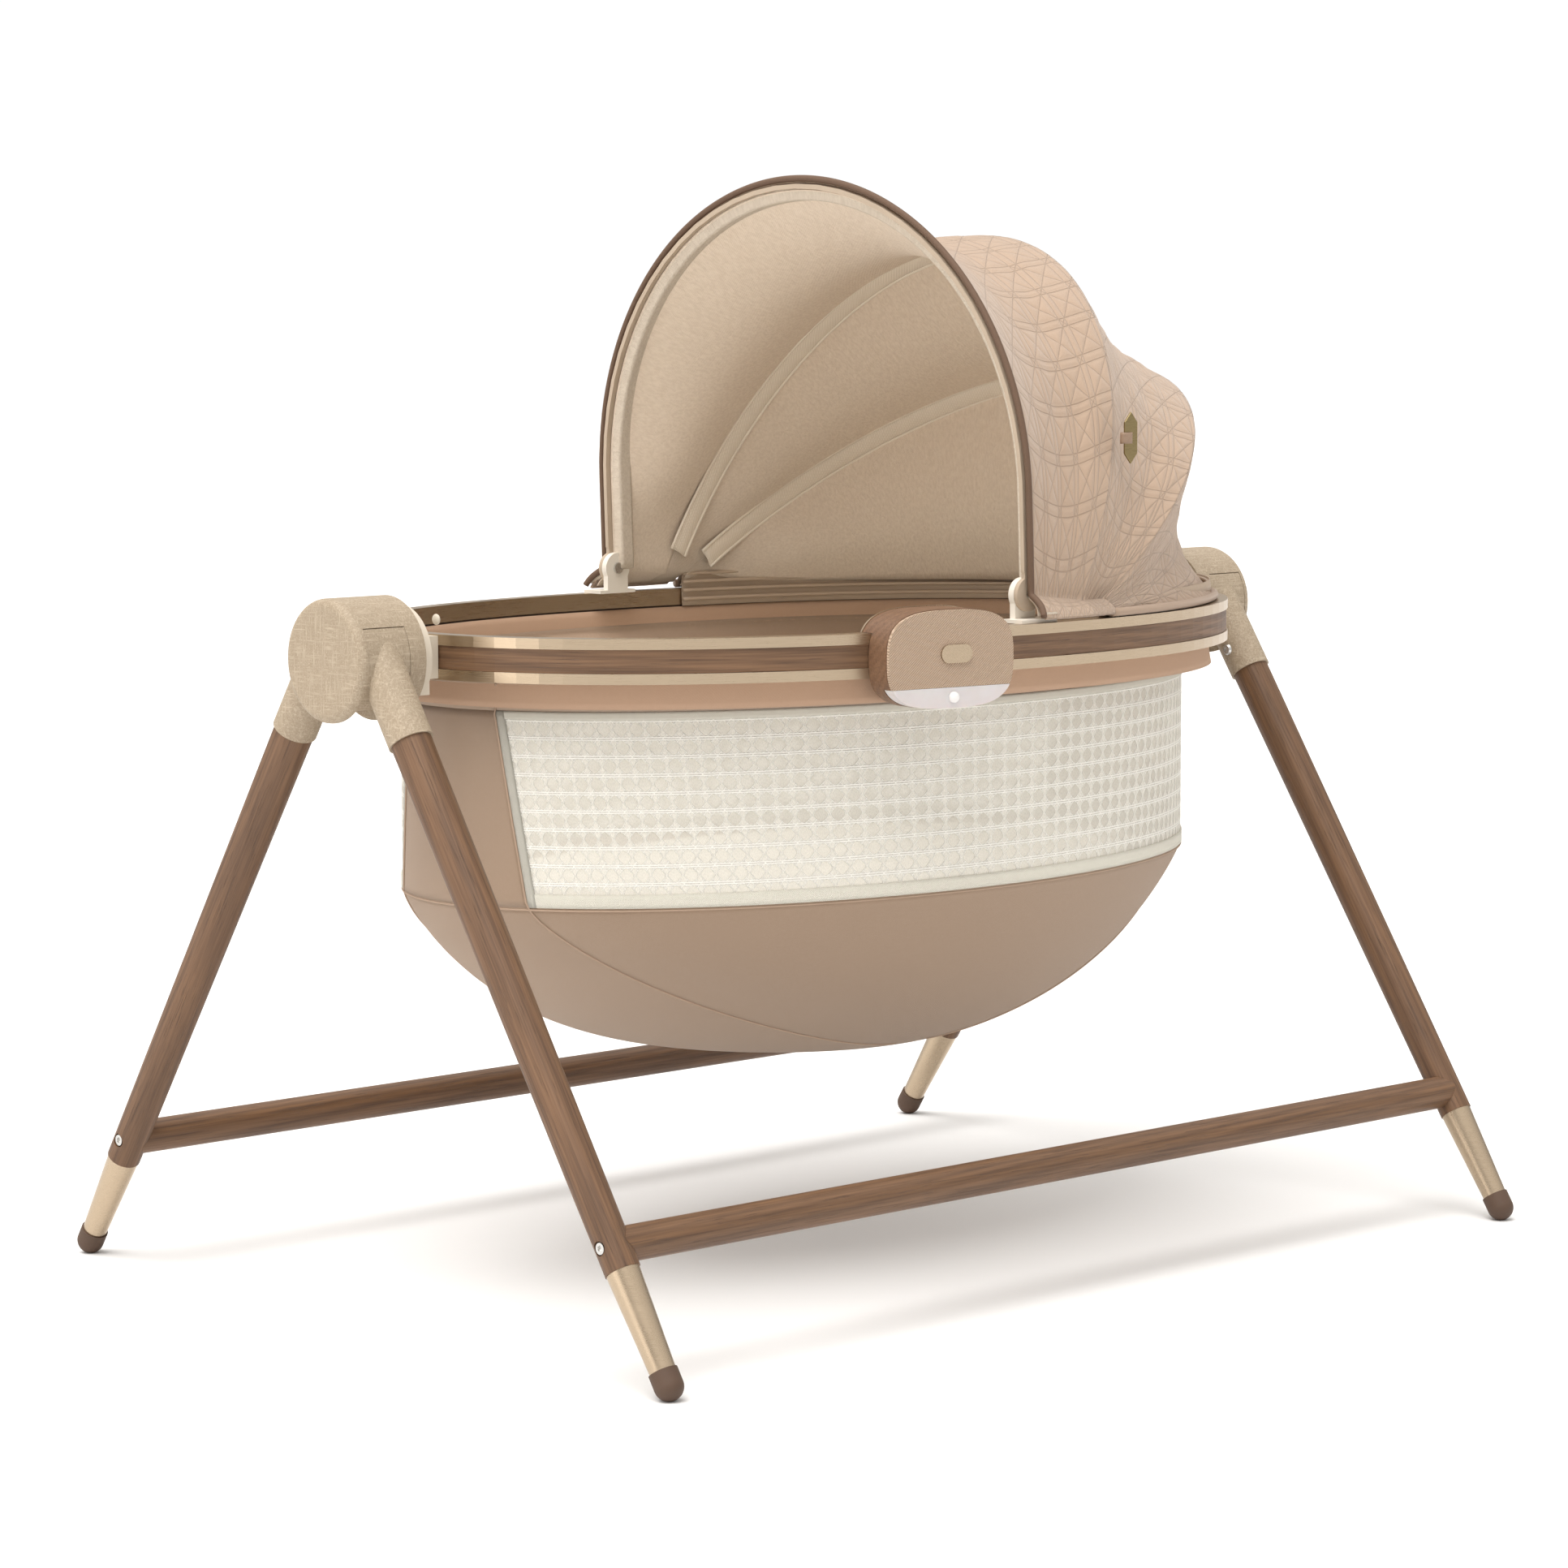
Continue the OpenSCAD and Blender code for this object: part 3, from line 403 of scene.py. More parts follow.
def mouldedFinish(light, dark, roughness=0.45):
    def build(g):
        speckle = g.noise(g.objectPlace(), 1300, 2)
        patches = g.noise(g.objectPlace(), 22, 2)
        return surface(g, g.mix(patches, dark, light), g.vary(roughness, speckle, 0.08), speckle, 0.00005)
    return build


def clothFinish(light, dark, depth):
    def build(g):
        place = g.surfacePlace()
        out = g.use(twill, Vector=place, Pitch=0.0009, Slope=1.0)
        patches = g.noise(g.objectPlace(), 7, 3)
        tone = g.mix(out["Shade"], dark, light)
        tone = g.mix(g.times(patches, 0.22), tone, dark)
        return surface(g, tone, g.minus(0.85, g.times(out["Shade"], 0.1)), out["Height"], depth)
    return build


def quiltFinish(g):
    place = g.surfacePlace()
    fine = g.use(twill, Vector=place, Pitch=0.0011, Slope=-1.0)
    sewn = g.use(stitch, Vector=place)
    lines = sewn["Lines"]
    patches = g.noise(place, 16, 3)
    tone = g.mix(fine["Shade"], (0.39, 0.275, 0.192), (0.465, 0.335, 0.242))
    tone = g.mix(g.times(patches, 0.25), tone, (0.365, 0.25, 0.172))
    tone = g.mix(g.times(lines, 0.48), tone, (0.24, 0.16, 0.105))
    height = g.add(g.times(sewn["Grooves"], 0.22), g.times(lines, 0.35))
    height = g.minus(g.times(fine["Height"], 0.05), height)
    return surface(g, tone, g.vary(0.62, patches, 0.15), height, 0.0011)


def crinkleFinish(light, dark):
    def build(g):
        place = g.surfacePlace()
        threads = g.use(weave, Vector=place, Pitch=0.0016)
        crinkle = g.noise(g.scaled(place, (1, 0.45, 1)), 330, 3, 0.62, 0.5)
        patches = g.noise(place, 8, 3)
        # The tone follows the crinkle's height: painted shade in the crinkles' hollows and painted light on
        # their ridges.
        tone = g.mix(g.ramp(crinkle, 0.3, 0.7), dark, light)
        tone = g.mix(g.times(patches, 0.3), tone, dark)
        height = g.vary(crinkle, threads["Height"], 0.25)
        return surface(g, tone, g.vary(0.78, crinkle, 0.15), height, 0.0009)
    return build


def satinFinish(light, dark, pitch=0.0024):
    def build(g):
        place = g.surfacePlace()
        x, y = g.apart(place)[:2]
        slub = g.noise(place, 220, 2)
        ribs = g.math("SINE", g.add(g.times(g.add(x, y), math.tau / pitch), slub))
        shade = g.ramp(ribs, -1, 1)
        return surface(g, g.mix(shade, dark, light), g.vary(0.42, slub, 0.2), ribs, 0.00008)
    return build


def pipingFinish(light, dark):
    def build(g):
        fibres = g.noise(g.objectPlace(), 1600, 3, 0.7)
        return surface(g, g.mix(fibres, dark, light), g.vary(0.6, fibres, 0.2), fibres, 0.0003)
    return build


def caneFinish(g):
    place = g.surfacePlace()
    out = g.use(cane, Vector=place)
    tone = g.mix(out["Thread"], (0.80, 0.77, 0.69), (0.90, 0.88, 0.82))
    return {"Base Color": tone, "Roughness": g.vary(0.7, out["Fine"], 0.15),
            "Alpha": out["Solid"], "Normal": bump(g, out["Thread"], 0.0005)}


def selvedgeFinish(g):
    place = g.surfacePlace()
    threads = g.use(weave, Vector=place, Pitch=0.0018)
    tone = g.mix(threads["Shade"], (0.66, 0.63, 0.53), (0.82, 0.79, 0.70))
    return surface(g, tone, g.vary(0.7, threads["Shade"], 0.12), threads["Height"], 0.0005)


def knitFinish(g):
    place = g.objectPlace()
    loops = g.node("TexVoronoi", {"Vector": place, "Scale": 420}, feature="F1").outputs["Distance"]
    patches = g.noise(place, 11, 3)
    tone = g.mix(patches, (0.74, 0.71, 0.63), (0.83, 0.81, 0.74))
    return surface(g, tone, g.minus(0.92, g.times(loops, 0.2)), loops, 0.0008)


def ribbedFinish(g):
    # Diagonal ribs on the speaker's cover, with the small threads across them.
    x, y, z = g.apart(g.objectPlace())[:3]
    slub = g.noise(g.objectPlace(), 500, 2)
    diagonal = g.minus(z, g.times(x, 0.9))
    ribs = g.math("SINE", g.add(g.times(diagonal, math.tau / 0.0022), slub))
    stitches = g.math("SINE", g.times(g.add(z, x), math.tau / 0.0016))
    height = g.vary(ribs, stitches, 0.4)
    shade = g.ramp(height, -1.2, 1.2)
    return surface(g, g.mix(shade, (0.36, 0.245, 0.16), (0.56, 0.41, 0.295)), g.vary(0.72, slub, 0.15),
                   height, 0.0003)


def diffuserFinish(g):
    cloudy = g.noise(g.objectPlace(), 60, 2)
    return surface(g, g.mix(cloudy, (0.56, 0.51, 0.505), (0.64, 0.60, 0.60)), g.vary(0.28, cloudy, 0.1),
                   cloudy, 0.00005)


def steelFinish(g):
    out = g.use(brush, Vector=g.scaled(g.objectPlace(), (1, 1, 1), (0, 0.6, 0.4)), Base=0.30)
    return surface(g, g.mix(out["Shade"], (0.55, 0.54, 0.52), (0.68, 0.67, 0.65)), out["Roughness"],
                   out["Height"], 0.00002)


def leatherFinish(g):
    place = g.objectPlace()
    pebbles = g.node("TexVoronoi", {"Vector": place, "Scale": 1500},
                     feature="DISTANCE_TO_EDGE").outputs["Distance"]
    tone = g.mix(g.noise(place, 300, 3), (0.25, 0.16, 0.105), (0.36, 0.245, 0.165))
    return surface(g, tone, g.vary(0.48, pebbles, 0.3), pebbles, 0.0004)


lean = math.radians(32.96)
lying = (0, math.pi / 2, 0)
finishes = {
    "walnutFront": material("walnutFrontLegs", walnutFinish((lean, 0, 0))),
    "walnutBack": material("walnutBackLegs", walnutFinish((-lean, 0, 0))),
    "walnutBar": material("walnutStretchers", walnutFinish(lying)),
    "walnutCase": material("walnutCase", walnutFinish(lying, (0.20, 0.105, 0.056), (0.105, 0.052, 0.026))),
    "inlay": material("walnutInlay", inlayFinish),
    "giltStrip": material("giltStrips", giltFinish(roundRim), Metallic=1.0),
    "giltPart": material("giltFerrules", giltFinish(slantedPlace), Metallic=1.0),
    "brass": material("brassTag", giltFinish(Graph.objectPlace, (0.20, 0.15, 0.07), (0.34, 0.27, 0.14)),
                      Metallic=1.0),
    "linen": material("linenPlastic", linenFinish),
    "plate": material("bracketPlastic", mouldedFinish((0.66, 0.585, 0.48), (0.58, 0.51, 0.41), 0.5)),
    "hinge": material("hingePlastic", mouldedFinish((0.82, 0.77, 0.69), (0.74, 0.68, 0.59), 0.38)),
    "sleeve": material("bowSleeve", mouldedFinish((0.50, 0.40, 0.30), (0.42, 0.33, 0.245), 0.7)),
    "rubber": material("footRubber", mouldedFinish((0.10, 0.056, 0.034), (0.066, 0.036, 0.021), 0.6)),
    "steel": material("screwSteel", steelFinish, Metallic=1.0),
    "core": material("coreBoard", mouldedFinish((0.07, 0.05, 0.038), (0.05, 0.035, 0.026), 0.7)),
    "shell": material("shellTwill", clothFinish((0.455, 0.322, 0.225), (0.37, 0.252, 0.168), 0.00022),
                      Sheen_Weight=0.25, Sheen_Roughness=0.5),
    "liner": material("linerTwill", clothFinish((0.60, 0.40, 0.275), (0.52, 0.335, 0.225), 0.0002)),
    "quilt": material("canopyQuilt", quiltFinish, Sheen_Weight=0.3, Sheen_Roughness=0.45),
    "lining": material("canopyLining", crinkleFinish((0.84, 0.71, 0.575), (0.74, 0.61, 0.48)),
                       Sheen_Weight=0.15),
    "facing": material("canopyFacing", crinkleFinish((0.70, 0.61, 0.50), (0.60, 0.51, 0.41))),
    "tape": material("satinTape", satinFinish((0.84, 0.75, 0.63), (0.72, 0.62, 0.50)), Sheen_Weight=0.2),
    "zip": material("zipTape", satinFinish((0.50, 0.385, 0.285), (0.40, 0.30, 0.215), 0.0016)),
    "piping": material("brownPiping", pipingFinish((0.17, 0.098, 0.058), (0.085, 0.046, 0.027))),
    "thread": material("seamThread", pipingFinish((0.46, 0.33, 0.24), (0.36, 0.25, 0.175))),
    "cane": material("caneMesh", caneFinish),
    "selvedge": material("meshSelvedge", selvedgeFinish),
    "knit": material("mattressKnit", knitFinish, Sheen_Weight=0.3),
    "ribbed": material("speakerRibs", ribbedFinish, Sheen_Weight=0.15),
    "diffuser": material("lightDiffuser", diffuserFinish, Subsurface_Weight=0.15, Subsurface_Scale=0.01),
    "lens": material("sensorLens", mouldedFinish((0.82, 0.80, 0.79), (0.76, 0.74, 0.73), 0.22)),
    "dark": material("darkParts", mouldedFinish((0.03, 0.03, 0.032), (0.018, 0.018, 0.02), 0.45)),
    "leather": material("tagLoop", leatherFinish),
}


def dress(finish, *names):
    for name in names:
        nodes[name].data.materials.clear()
        nodes[name].data.materials.append(finishes[finish])
        for face in nodes[name].data.polygons:
            face.material_index = 0


both = ("left", "right")
dress("walnutFront", *["front_leg_" + side for side in both])
dress("walnutBack", *["back_leg_" + side for side in both])
dress("walnutBar", "front_stretcher", "back_stretcher")
dress("inlay", "rim_inlay")
dress("walnutCase", "unit_housing")
dress("giltStrip", "rim_top_strip", "rim_bottom_strip")
dress("giltPart", "unit_trim", "unit_badge",
      *[f"{half}_ferrule_{side}" for half in ("front", "back") for side in both])
dress("rubber", *[f"{half}_foot_{side}" for half in ("front", "back") for side in both])
dress("linen", *[f"hub_{part}_{side}" for part in ("cover", "shell", "tongue", "plate") for side in both])
dress("plate", "end_bracket_left", "end_bracket_right")
dress("hinge", "canopy_bracket_front", "canopy_bracket_back")
dress("sleeve", "front_bow", "middle_bow", "rear_bow")
dress("steel", "front_leg_bolts", "back_leg_bolts", "socket_screws", "canopy_pins", "fold_axle_left",
      "fold_axle_right")
dress("core", "rim_core", "base_board")
dress("ribbed", "speaker_cover")
dress("diffuser", "light_diffuser")
dress("lens", "motion_lens")
dress("dark", "speaker_driver", "circuit_board")
print("finishes are on the frame")


def finishPiece(bm, name, finish, body, thick=0.0, smooth=True):
    mesh = bpy.data.meshes.new(name)
    bm.to_mesh(mesh)
    bm.free()
    piece = bpy.data.objects.new(name, mesh)
    scene.collection.objects.link(piece)
    mesh.materials.append(finishes[finish])
    if smooth:
        mesh.shade_smooth()
    if thick:
        wall = piece.modifiers.new("wall", "SOLIDIFY")
        wall.thickness = thick
        wall.offset = -1
    if body:
        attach(piece, body)
    return piece


def sheetMesh(cols, rows, place, inside, closed, uvPlace):
    # A grid whose points are put in place by share along (u) and across (w); faces turn away from inside.
    bm = bmesh.new()
    bmesh.ops.create_grid(bm, x_segments=cols, y_segments=rows, size=0.5)
    layer = bm.loops.layers.uv.new("surface")
    for face in bm.faces:
        for loop in face.loops:
            u, w = loop.vert.co.x + 0.5, loop.vert.co.y + 0.5
            loop[layer].uv = uvPlace(u, w)
    for vert in bm.verts:
        vert.co = place(vert.co.x + 0.5, vert.co.y + 0.5)
    if closed:
        bmesh.ops.remove_doubles(bm, verts=bm.verts, dist=1e-5)
        bmesh.ops.dissolve_degenerate(bm, dist=1e-6, edges=bm.edges)
    bm.normal_update()
    lean = sum(face.normal.dot(face.calc_center_median() - inside) * face.calc_area() for face in bm.faces)
    if lean < 0:
        bmesh.ops.reverse_faces(bm, faces=bm.faces)
    return bm


def innerSheet(*parts):
    # A sheet on the inner side, whose faces turn towards the middle.
    bm = sheetMesh(*parts)
    bmesh.ops.reverse_faces(bm, faces=bm.faces)
    return bm


def roundCord(name, points, radius, finish, body, closed=False):
    # A cord of round section through the points: a small circle carried along them, then skinned.
    bm = bmesh.new()
    rings = []
    count = len(points)
    for i, point in enumerate(points):
        ahead = points[(i + 1) % count] if closed or i < count - 1 else points[i]
        behind = points[i - 1] if closed or i > 0 else points[i]
        turn = (ahead - behind).normalized().to_track_quat("Z", "Y").to_matrix().to_4x4()
        place = Matrix.Translation(point) @ turn
        rings.append(bmesh.ops.create_circle(bm, segments=8, radius=radius, matrix=place)["verts"])
    pairs = list(zip(rings, rings[1:])) + ([(rings[-1], rings[0])] if closed else [])
    for near, far in pairs:
        start = min(range(8), key=lambda k: (far[k].co - near[0].co).length)
        onward = (far[(start + 1) % 8].co - near[1].co).length
        backward = (far[start - 1].co - near[1].co).length
        step = 1 if onward < backward else -1
        for k in range(8):
            first, second = far[(start + step * k) % 8], far[(start + step * (k + 1)) % 8]
            bm.faces.new((near[k], near[(k + 1) % 8], second, first))
    if not closed:
        bm.faces.new(rings[0])
        bm.faces.new(rings[-1])
    bmesh.ops.recalc_face_normals(bm, faces=bm.faces)
    return finishPiece(bm, name, finish, body)


def smoothShare(value, low, high):
    share = min(max((value - low) / (high - low), 0), 1)
    return share * share * (3 - 2 * share)


def mix(a, b, share):
    return a + (b - a) * share


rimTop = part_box("rim_top_strip")[1].z
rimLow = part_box("rim_bottom_strip")[0].z
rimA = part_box("rim_top_strip")[1].x
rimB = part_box("rim_top_strip")[1].y
tub = {
    "top": rimLow,
    "windowTop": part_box("tub_band")[0].z,
    "windowLow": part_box("tub_bowl")[1].z,
    "low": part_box("tub_bowl")[0].z,
    "halfLength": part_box("end_gusset_right")[1].x,
    "halfWidth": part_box("mesh_window_back")[1].y,
    "topLength": rimA - 0.015,
    "topWidth": rimB - 0.015,
    "windowEndTop": 13.3,
    "windowEndLow": 19.4,
    "wall": 0.003,
}
rimRound = 2.17


def ovalPoint(turn, a, b, power, z):
    c, s = math.cos(turn), math.sin(turn)
    x = math.copysign(abs(c) ** (2 / power), c) * a
    y = math.copysign(abs(s) ** (2 / power), s) * b
    return Vector((x, y, z))


def tubPoint(z, turn, inset=0.0):
    # The tub's skin at height z and angle turn in degrees, the same surface as the moulded shape below it.
    if z > tub["windowTop"]:
        share = min((z - tub["windowTop"]) / (tub["top"] - tub["windowTop"]), 1) ** 1.3
        a = mix(tub["halfLength"], tub["topLength"], share)
        b = mix(tub["halfWidth"], tub["topWidth"], share)
        power = mix(2, rimRound, share)
    else:
        share = min(max((tub["windowLow"] - z) / (tub["windowLow"] - tub["low"]), 0), 1)
        a = tub["halfLength"] * (1 - share ** 1.322) ** 0.353
        b = tub["halfWidth"] * (1 - share ** 0.815) ** 0.213
        power = 2
    return ovalPoint(math.radians(turn), a - inset, b - inset, power, z)


def windowEnd(z):
    share = (z - tub["windowLow"]) / (tub["windowTop"] - tub["windowLow"])
    return mix(tub["windowEndLow"], tub["windowEndTop"], share)


tubMiddle = Vector((0, 0, tub["windowLow"]))


def tubUv(turn, z):
    return math.radians(turn) * 0.33, z


def makeBand():
    low, high = tub["windowTop"], tub["top"] + 0.006
    bm = sheetMesh(180, 8, lambda u, w: tubPoint(mix(low, high, w), 360 * u), tubMiddle, True,
                   lambda u, w: tubUv(360 * u, mix(low, high, w)))
    piece = finishPiece(bm, "bandFabric", "shell", "cradle", tub["wall"])
    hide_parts("tub_band")


def makeGusset(side, middleTurn):
    def place(u, w):
        z = mix(tub["windowLow"], tub["windowTop"], w)
        return tubPoint(z, middleTurn + mix(-1, 1, u) * windowEnd(z))
    bm = sheetMesh(36, 24, place, tubMiddle, False,
                   lambda u, w: tubUv(middleTurn + 40 * u, mix(tub["windowLow"], tub["windowTop"], w)))
    piece = finishPiece(bm, "gussetFabric_" + side, "shell", "cradle", tub["wall"])
    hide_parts("end_gusset_" + side)


def makeBowl():
    depth = tub["windowLow"] - tub["low"]

    def place(u, w):
        z = tub["windowLow"] - depth * math.sin(math.pi / 2 * w)
        point = tubPoint(z, 360 * u)
        return point if w < 0.9999 else Vector((0, 0, z))
    bm = sheetMesh(160, 40, place, tubMiddle + Vector((0, 0, -0.02)), True,
                   lambda u, w: (math.radians(360 * u) * 0.33, -0.32 * w))
    piece = finishPiece(bm, "bowlFabric", "shell", "cradle", tub["wall"])
    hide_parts("tub_bowl")


window = {"length": 1.02, "inset": 0.0006, "selvedge": 0.011, "selvedgeLift": 0.0012,
          "selvedgeThick": 0.0014}


def makeWindow(side, middleTurn):
    height = tub["windowTop"] - tub["windowLow"]
    rise = window["selvedge"] / height
    run = window["selvedge"] / window["length"]

    def zAt(w):
        return mix(tub["windowLow"], tub["windowTop"], w)

    def place(u, w):
        z = zAt(w)
        half = 90 - windowEnd(z)
        return tubPoint(z, middleTurn + mix(-half, half, u), window["inset"])

    def uv(u, w):
        # length along the wall, in metres, from the window's middle
        return (u - 0.5) * window["length"], zAt(w)
    bm = sheetMesh(150, 30, place, tubMiddle, False, uv)
    piece = finishPiece(bm, "windowMesh_" + side, "cane", "cradle", 0.0008)
    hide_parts("mesh_window_" + side)
    # selvedge: a plain strip round the window's four sides
    for strip, segments, stripPlace in (
        ("Low", 150, lambda u, w: place(u, w * rise)),
        ("Top", 150, lambda u, w: place(u, 1 - w * 0.6 * rise)),
        ("Left", 24, lambda u, w: place(w * run, u)),
        ("Right", 24, lambda u, w: place(1 - w * run, u)),
    ):
        def lifted(u, w, stripPlace=stripPlace):
            return lift(stripPlace(u, w), window["selvedgeLift"])
        bm = sheetMesh(segments, 3, lifted, tubMiddle, False, lambda u, w: (u, w * window["selvedge"]))
        finishPiece(bm, f"windowEdge{strip}_{side}", "selvedge", "cradle", window["selvedgeThick"])


def seamPoints(place, count):
    return [place(i / (count - 1)) for i in range(count)]


def lift(point, height):
    out = Vector((point.x, point.y, 0))
    return point + out.normalized() * height


seam = {"radius": 0.0009, "lift": 0.0004, "aboveWindow": 0.0035, "belowWindow": 0.002, "sideLift": 0.0003,
        "points": 80}


def makeSeams():
    # Thin sewn ridges: above and below the windows, and up the sides of the end strips.
    high, low = tub["windowTop"], tub["windowLow"]
    for name, z in (("bandSeam", high + seam["aboveWindow"]), ("bowlSeam", low - seam["belowWindow"])):
        ring = seamPoints(lambda s: lift(tubPoint(z, 360 * s), seam["lift"]), 181)[:-1]
        roundCord(name, ring, seam["radius"], "thread", "cradle", True)
    # the end strip's side seams run from the rim, past the window's end, and under the bowl
    for name, signX, signY in (("LeftFront", -1, -1), ("LeftBack", -1, 1),
                               ("RightFront", 1, -1), ("RightBack", 1, 1)):
        def curve(s, signX=signX, signY=signY):
            if s < 0.35:
                z = mix(tub["top"] - 0.002, low, s / 0.35)
                turn = windowEnd(min(z, high)) - 0.35 * (z < high)
                point = tubPoint(z, turn)
            else:
                share = (s - 0.35) / 0.65
                z = low - (low - tub["low"]) * 0.93 * math.sin(math.pi / 2 * share)
                z = max(z, tub["low"] + 0.004)
                turn = mix(windowEnd(low), 84, share ** 1.25)
                point = tubPoint(z, turn)
            mirrored = Vector((signX * point.x, signY * point.y, point.z))
            return mirrored + Vector((signX, signY, 0)) * seam["sideLift"]
        roundCord("stripSeam" + name, seamPoints(curve, seam["points"]), seam["radius"], "thread", "cradle")


def makeMattress():
    low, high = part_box("mattress")
    settings = {"voxel": 0.006, "pressure": 4.0, "frames": 18, "shrink": 0.010, "cap": 0.008,
                "corner": 0.012}
    bm = bmesh.new()
    bmesh.ops.create_circle(bm, cap_ends=True, segments=96, radius=1)
    bmesh.ops.scale(bm, vec=((high.x - low.x) / 2 - settings["shrink"] * 0.6,
                             (high.y - low.y) / 2 - settings["shrink"] * 0.6, 1), verts=bm.verts)
    bmesh.ops.translate(bm, vec=(0, 0, low.z + 0.003), verts=bm.verts)
    made = bmesh.ops.extrude_face_region(bm, geom=bm.faces[:])
    top = [item for item in made["geom"] if isinstance(item, bmesh.types.BMVert)]
    bmesh.ops.translate(bm, vec=(0, 0, high.z - low.z - settings["shrink"]), verts=top)
    bmesh.ops.recalc_face_normals(bm, faces=bm.faces)
    rims = [edge for edge in bm.edges if len(edge.link_faces) == 2 and edge.calc_face_angle(0) > 1]
    bmesh.ops.bevel(bm, geom=rims, offset=settings["corner"], offset_type="OFFSET", segments=4, profile=0.5,
                    affect="EDGES", material=-1)
    piece = finishPiece(bm, "mattressPad", "knit", "cradle")
    bpy.context.view_layer.objects.active = piece
    piece.select_set(True)
    remesh = piece.modifiers.new("remesh", "REMESH")
    remesh.mode = "VOXEL"
    remesh.voxel_size = settings["voxel"]
    bpy.ops.object.modifier_apply(modifier="remesh")
    start = [vert.co.copy() for vert in piece.data.vertices]
    cloth = piece.modifiers.new("cloth", "CLOTH")
    cloth.settings.use_pressure = True
    cloth.settings.uniform_pressure_force = settings["pressure"]
    cloth.settings.effector_weights.gravity = 0
    cloth.settings.quality = 5
    for number in range(1, settings["frames"] + 1):
        scene.frame_set(number)
    bpy.ops.object.modifier_apply(modifier="cloth")
    scene.frame_set(1)
    for vert, before in zip(piece.data.vertices, start):
        move = vert.co - before
        if move.length > settings["cap"]:
            vert.co = before + move.normalized() * settings["cap"]
        vert.co.z = max(vert.co.z, low.z + 0.0005)
    piece.data.shade_smooth()
    smooth = piece.modifiers.new("soften", "SMOOTH")
    smooth.iterations = 4
    piece.select_set(False)
    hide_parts("mattress")
    # piping round the mattress, top and bottom
    for name, z in (("Top", high.z - 0.008), ("Low", low.z + 0.010)):
        a, b = (high.x - low.x) / 2 - 0.003, (high.y - low.y) / 2 - 0.003
        ring = [ovalPoint(t * math.tau / 120, a, b, 2, z) for t in range(120)]
        roundCord("mattressPiping" + name, ring, 0.0018, "selvedge", "cradle", True)


makeBand()
makeGusset("right", 0)
makeGusset("left", 180)
makeBowl()
makeWindow("front", 270)
makeWindow("back", 90)
makeSeams()
makeMattress()
print("tub is made")


hingeLow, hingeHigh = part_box("canopy_pins")
canopy = {
    "hinge": (0.005, (hingeLow.z + hingeHigh.z) / 2),
    "hemHeight": rimTop + 0.003,
    "halfWidth": rimB - 0.016,
    "thick": 0.0028,
    "liningGap": 0.0095,
    "frontReach": 0.348, "frontAngle": 92.0, "frontStraight": 0.084,
    "middleReach": 0.345, "middleAngle": 63.6, "middleFoot": 0.0615,
    "rearReach": 0.342, "rearAngle": 34.0, "rearFoot": 0.0885,
    "footHeight": rimTop + 0.016,
    "skirt": 0.05,        # share of each panel's length that hangs from a bow's foot to the hem
    "flare": 0.022,
}
canopyMiddle = Vector((canopy["hinge"][0] + 0.14, 0, rimTop + 0.02))


def archPoint(x, z, angle, half, reach, straight, f):
    upright = 0.09 if straight > 0 else 0
    g = min(f, 1 - f)
    if g < upright:
        r, y = straight * g / upright, half
    else:
        turn = math.pi / 2 * (g - upright) / (0.5 - upright)
        r, y = straight + (reach - straight) * math.sin(turn), half * math.cos(turn)
    side = -1 if f < 0.5 else 1
    angle = math.radians(angle)
    return Vector((x + r * math.cos(angle), side * y, z + r * math.sin(angle)))


def frontArch(f, inset=0.0):
    return archPoint(canopy["hinge"][0], canopy["hinge"][1], canopy["frontAngle"],
                     canopy["halfWidth"] + 0.002 - inset,
                     canopy["frontReach"] - inset, canopy["frontStraight"], f)


def middleArch(f, inset=0.0):
    return archPoint(canopy["hinge"][0] + canopy["middleFoot"], canopy["footHeight"], canopy["middleAngle"],
                     canopy["halfWidth"] - inset, canopy["middleReach"] - inset, 0, f)


def rearArch(f, inset=0.0):
    return archPoint(canopy["hinge"][0] + canopy["rearFoot"], canopy["footHeight"], canopy["rearAngle"],
                     canopy["halfWidth"] - inset, canopy["rearReach"] - inset, 0, f)


hemTurn = math.acos(((canopy["hinge"][0] + canopy["rearFoot"]) / (rimA - 0.004)) ** (rimRound / 2))


def rimPoint(turn, inset, z):
    return ovalPoint(turn, rimA - inset, rimB - inset, rimRound, z)


def hemArch(f, inset=0.0):
    return rimPoint(mix(-hemTurn, hemTurn, f), 0.003 + inset + 0.017 * math.sin(math.pi * f) ** 2,
                    canopy["hemHeight"])


def rimSide(x):
    # half width of the rim's outer edge at x
    return rimB * (1 - min(abs(x) / rimA, 0.999) ** rimRound) ** (1 / rimRound)


def creases(u, w, strength):
    # Gathers that run from bow to bow and fade at the bows.
    folds = noise.noise(Vector((u / quilt["creasePitch"], w * 2.2, 3.1)))
    drift = noise.noise(Vector((u * 9 + w * 5, w * 7, 7.7)))
    return strength * quilt["crease"] * (folds + 1.1 * drift)


def puff(u, w):
    # Padding between the stitched lines: full in the cells and pinched at the lines.
    gap = 1.0
    half = quilt["pairGap"] / 2
    u, w = (u + quilt["waver"] * math.sin(w * quilt["waveAcross"]),
            w + quilt["waver"] * math.sin(u * quilt["waveAlong"]))
    for value, offset in ((u, half), (u, -half), (w, half), (w, -half), (u + w, 0), (u - w, 0)):
        away = abs((value - offset + quilt["pitch"] / 2) % quilt["pitch"] - quilt["pitch"] / 2)
        gap = min(gap, away)
    return quilt["puff"] * (1 - math.exp(-((gap / 0.0045) ** 2)))


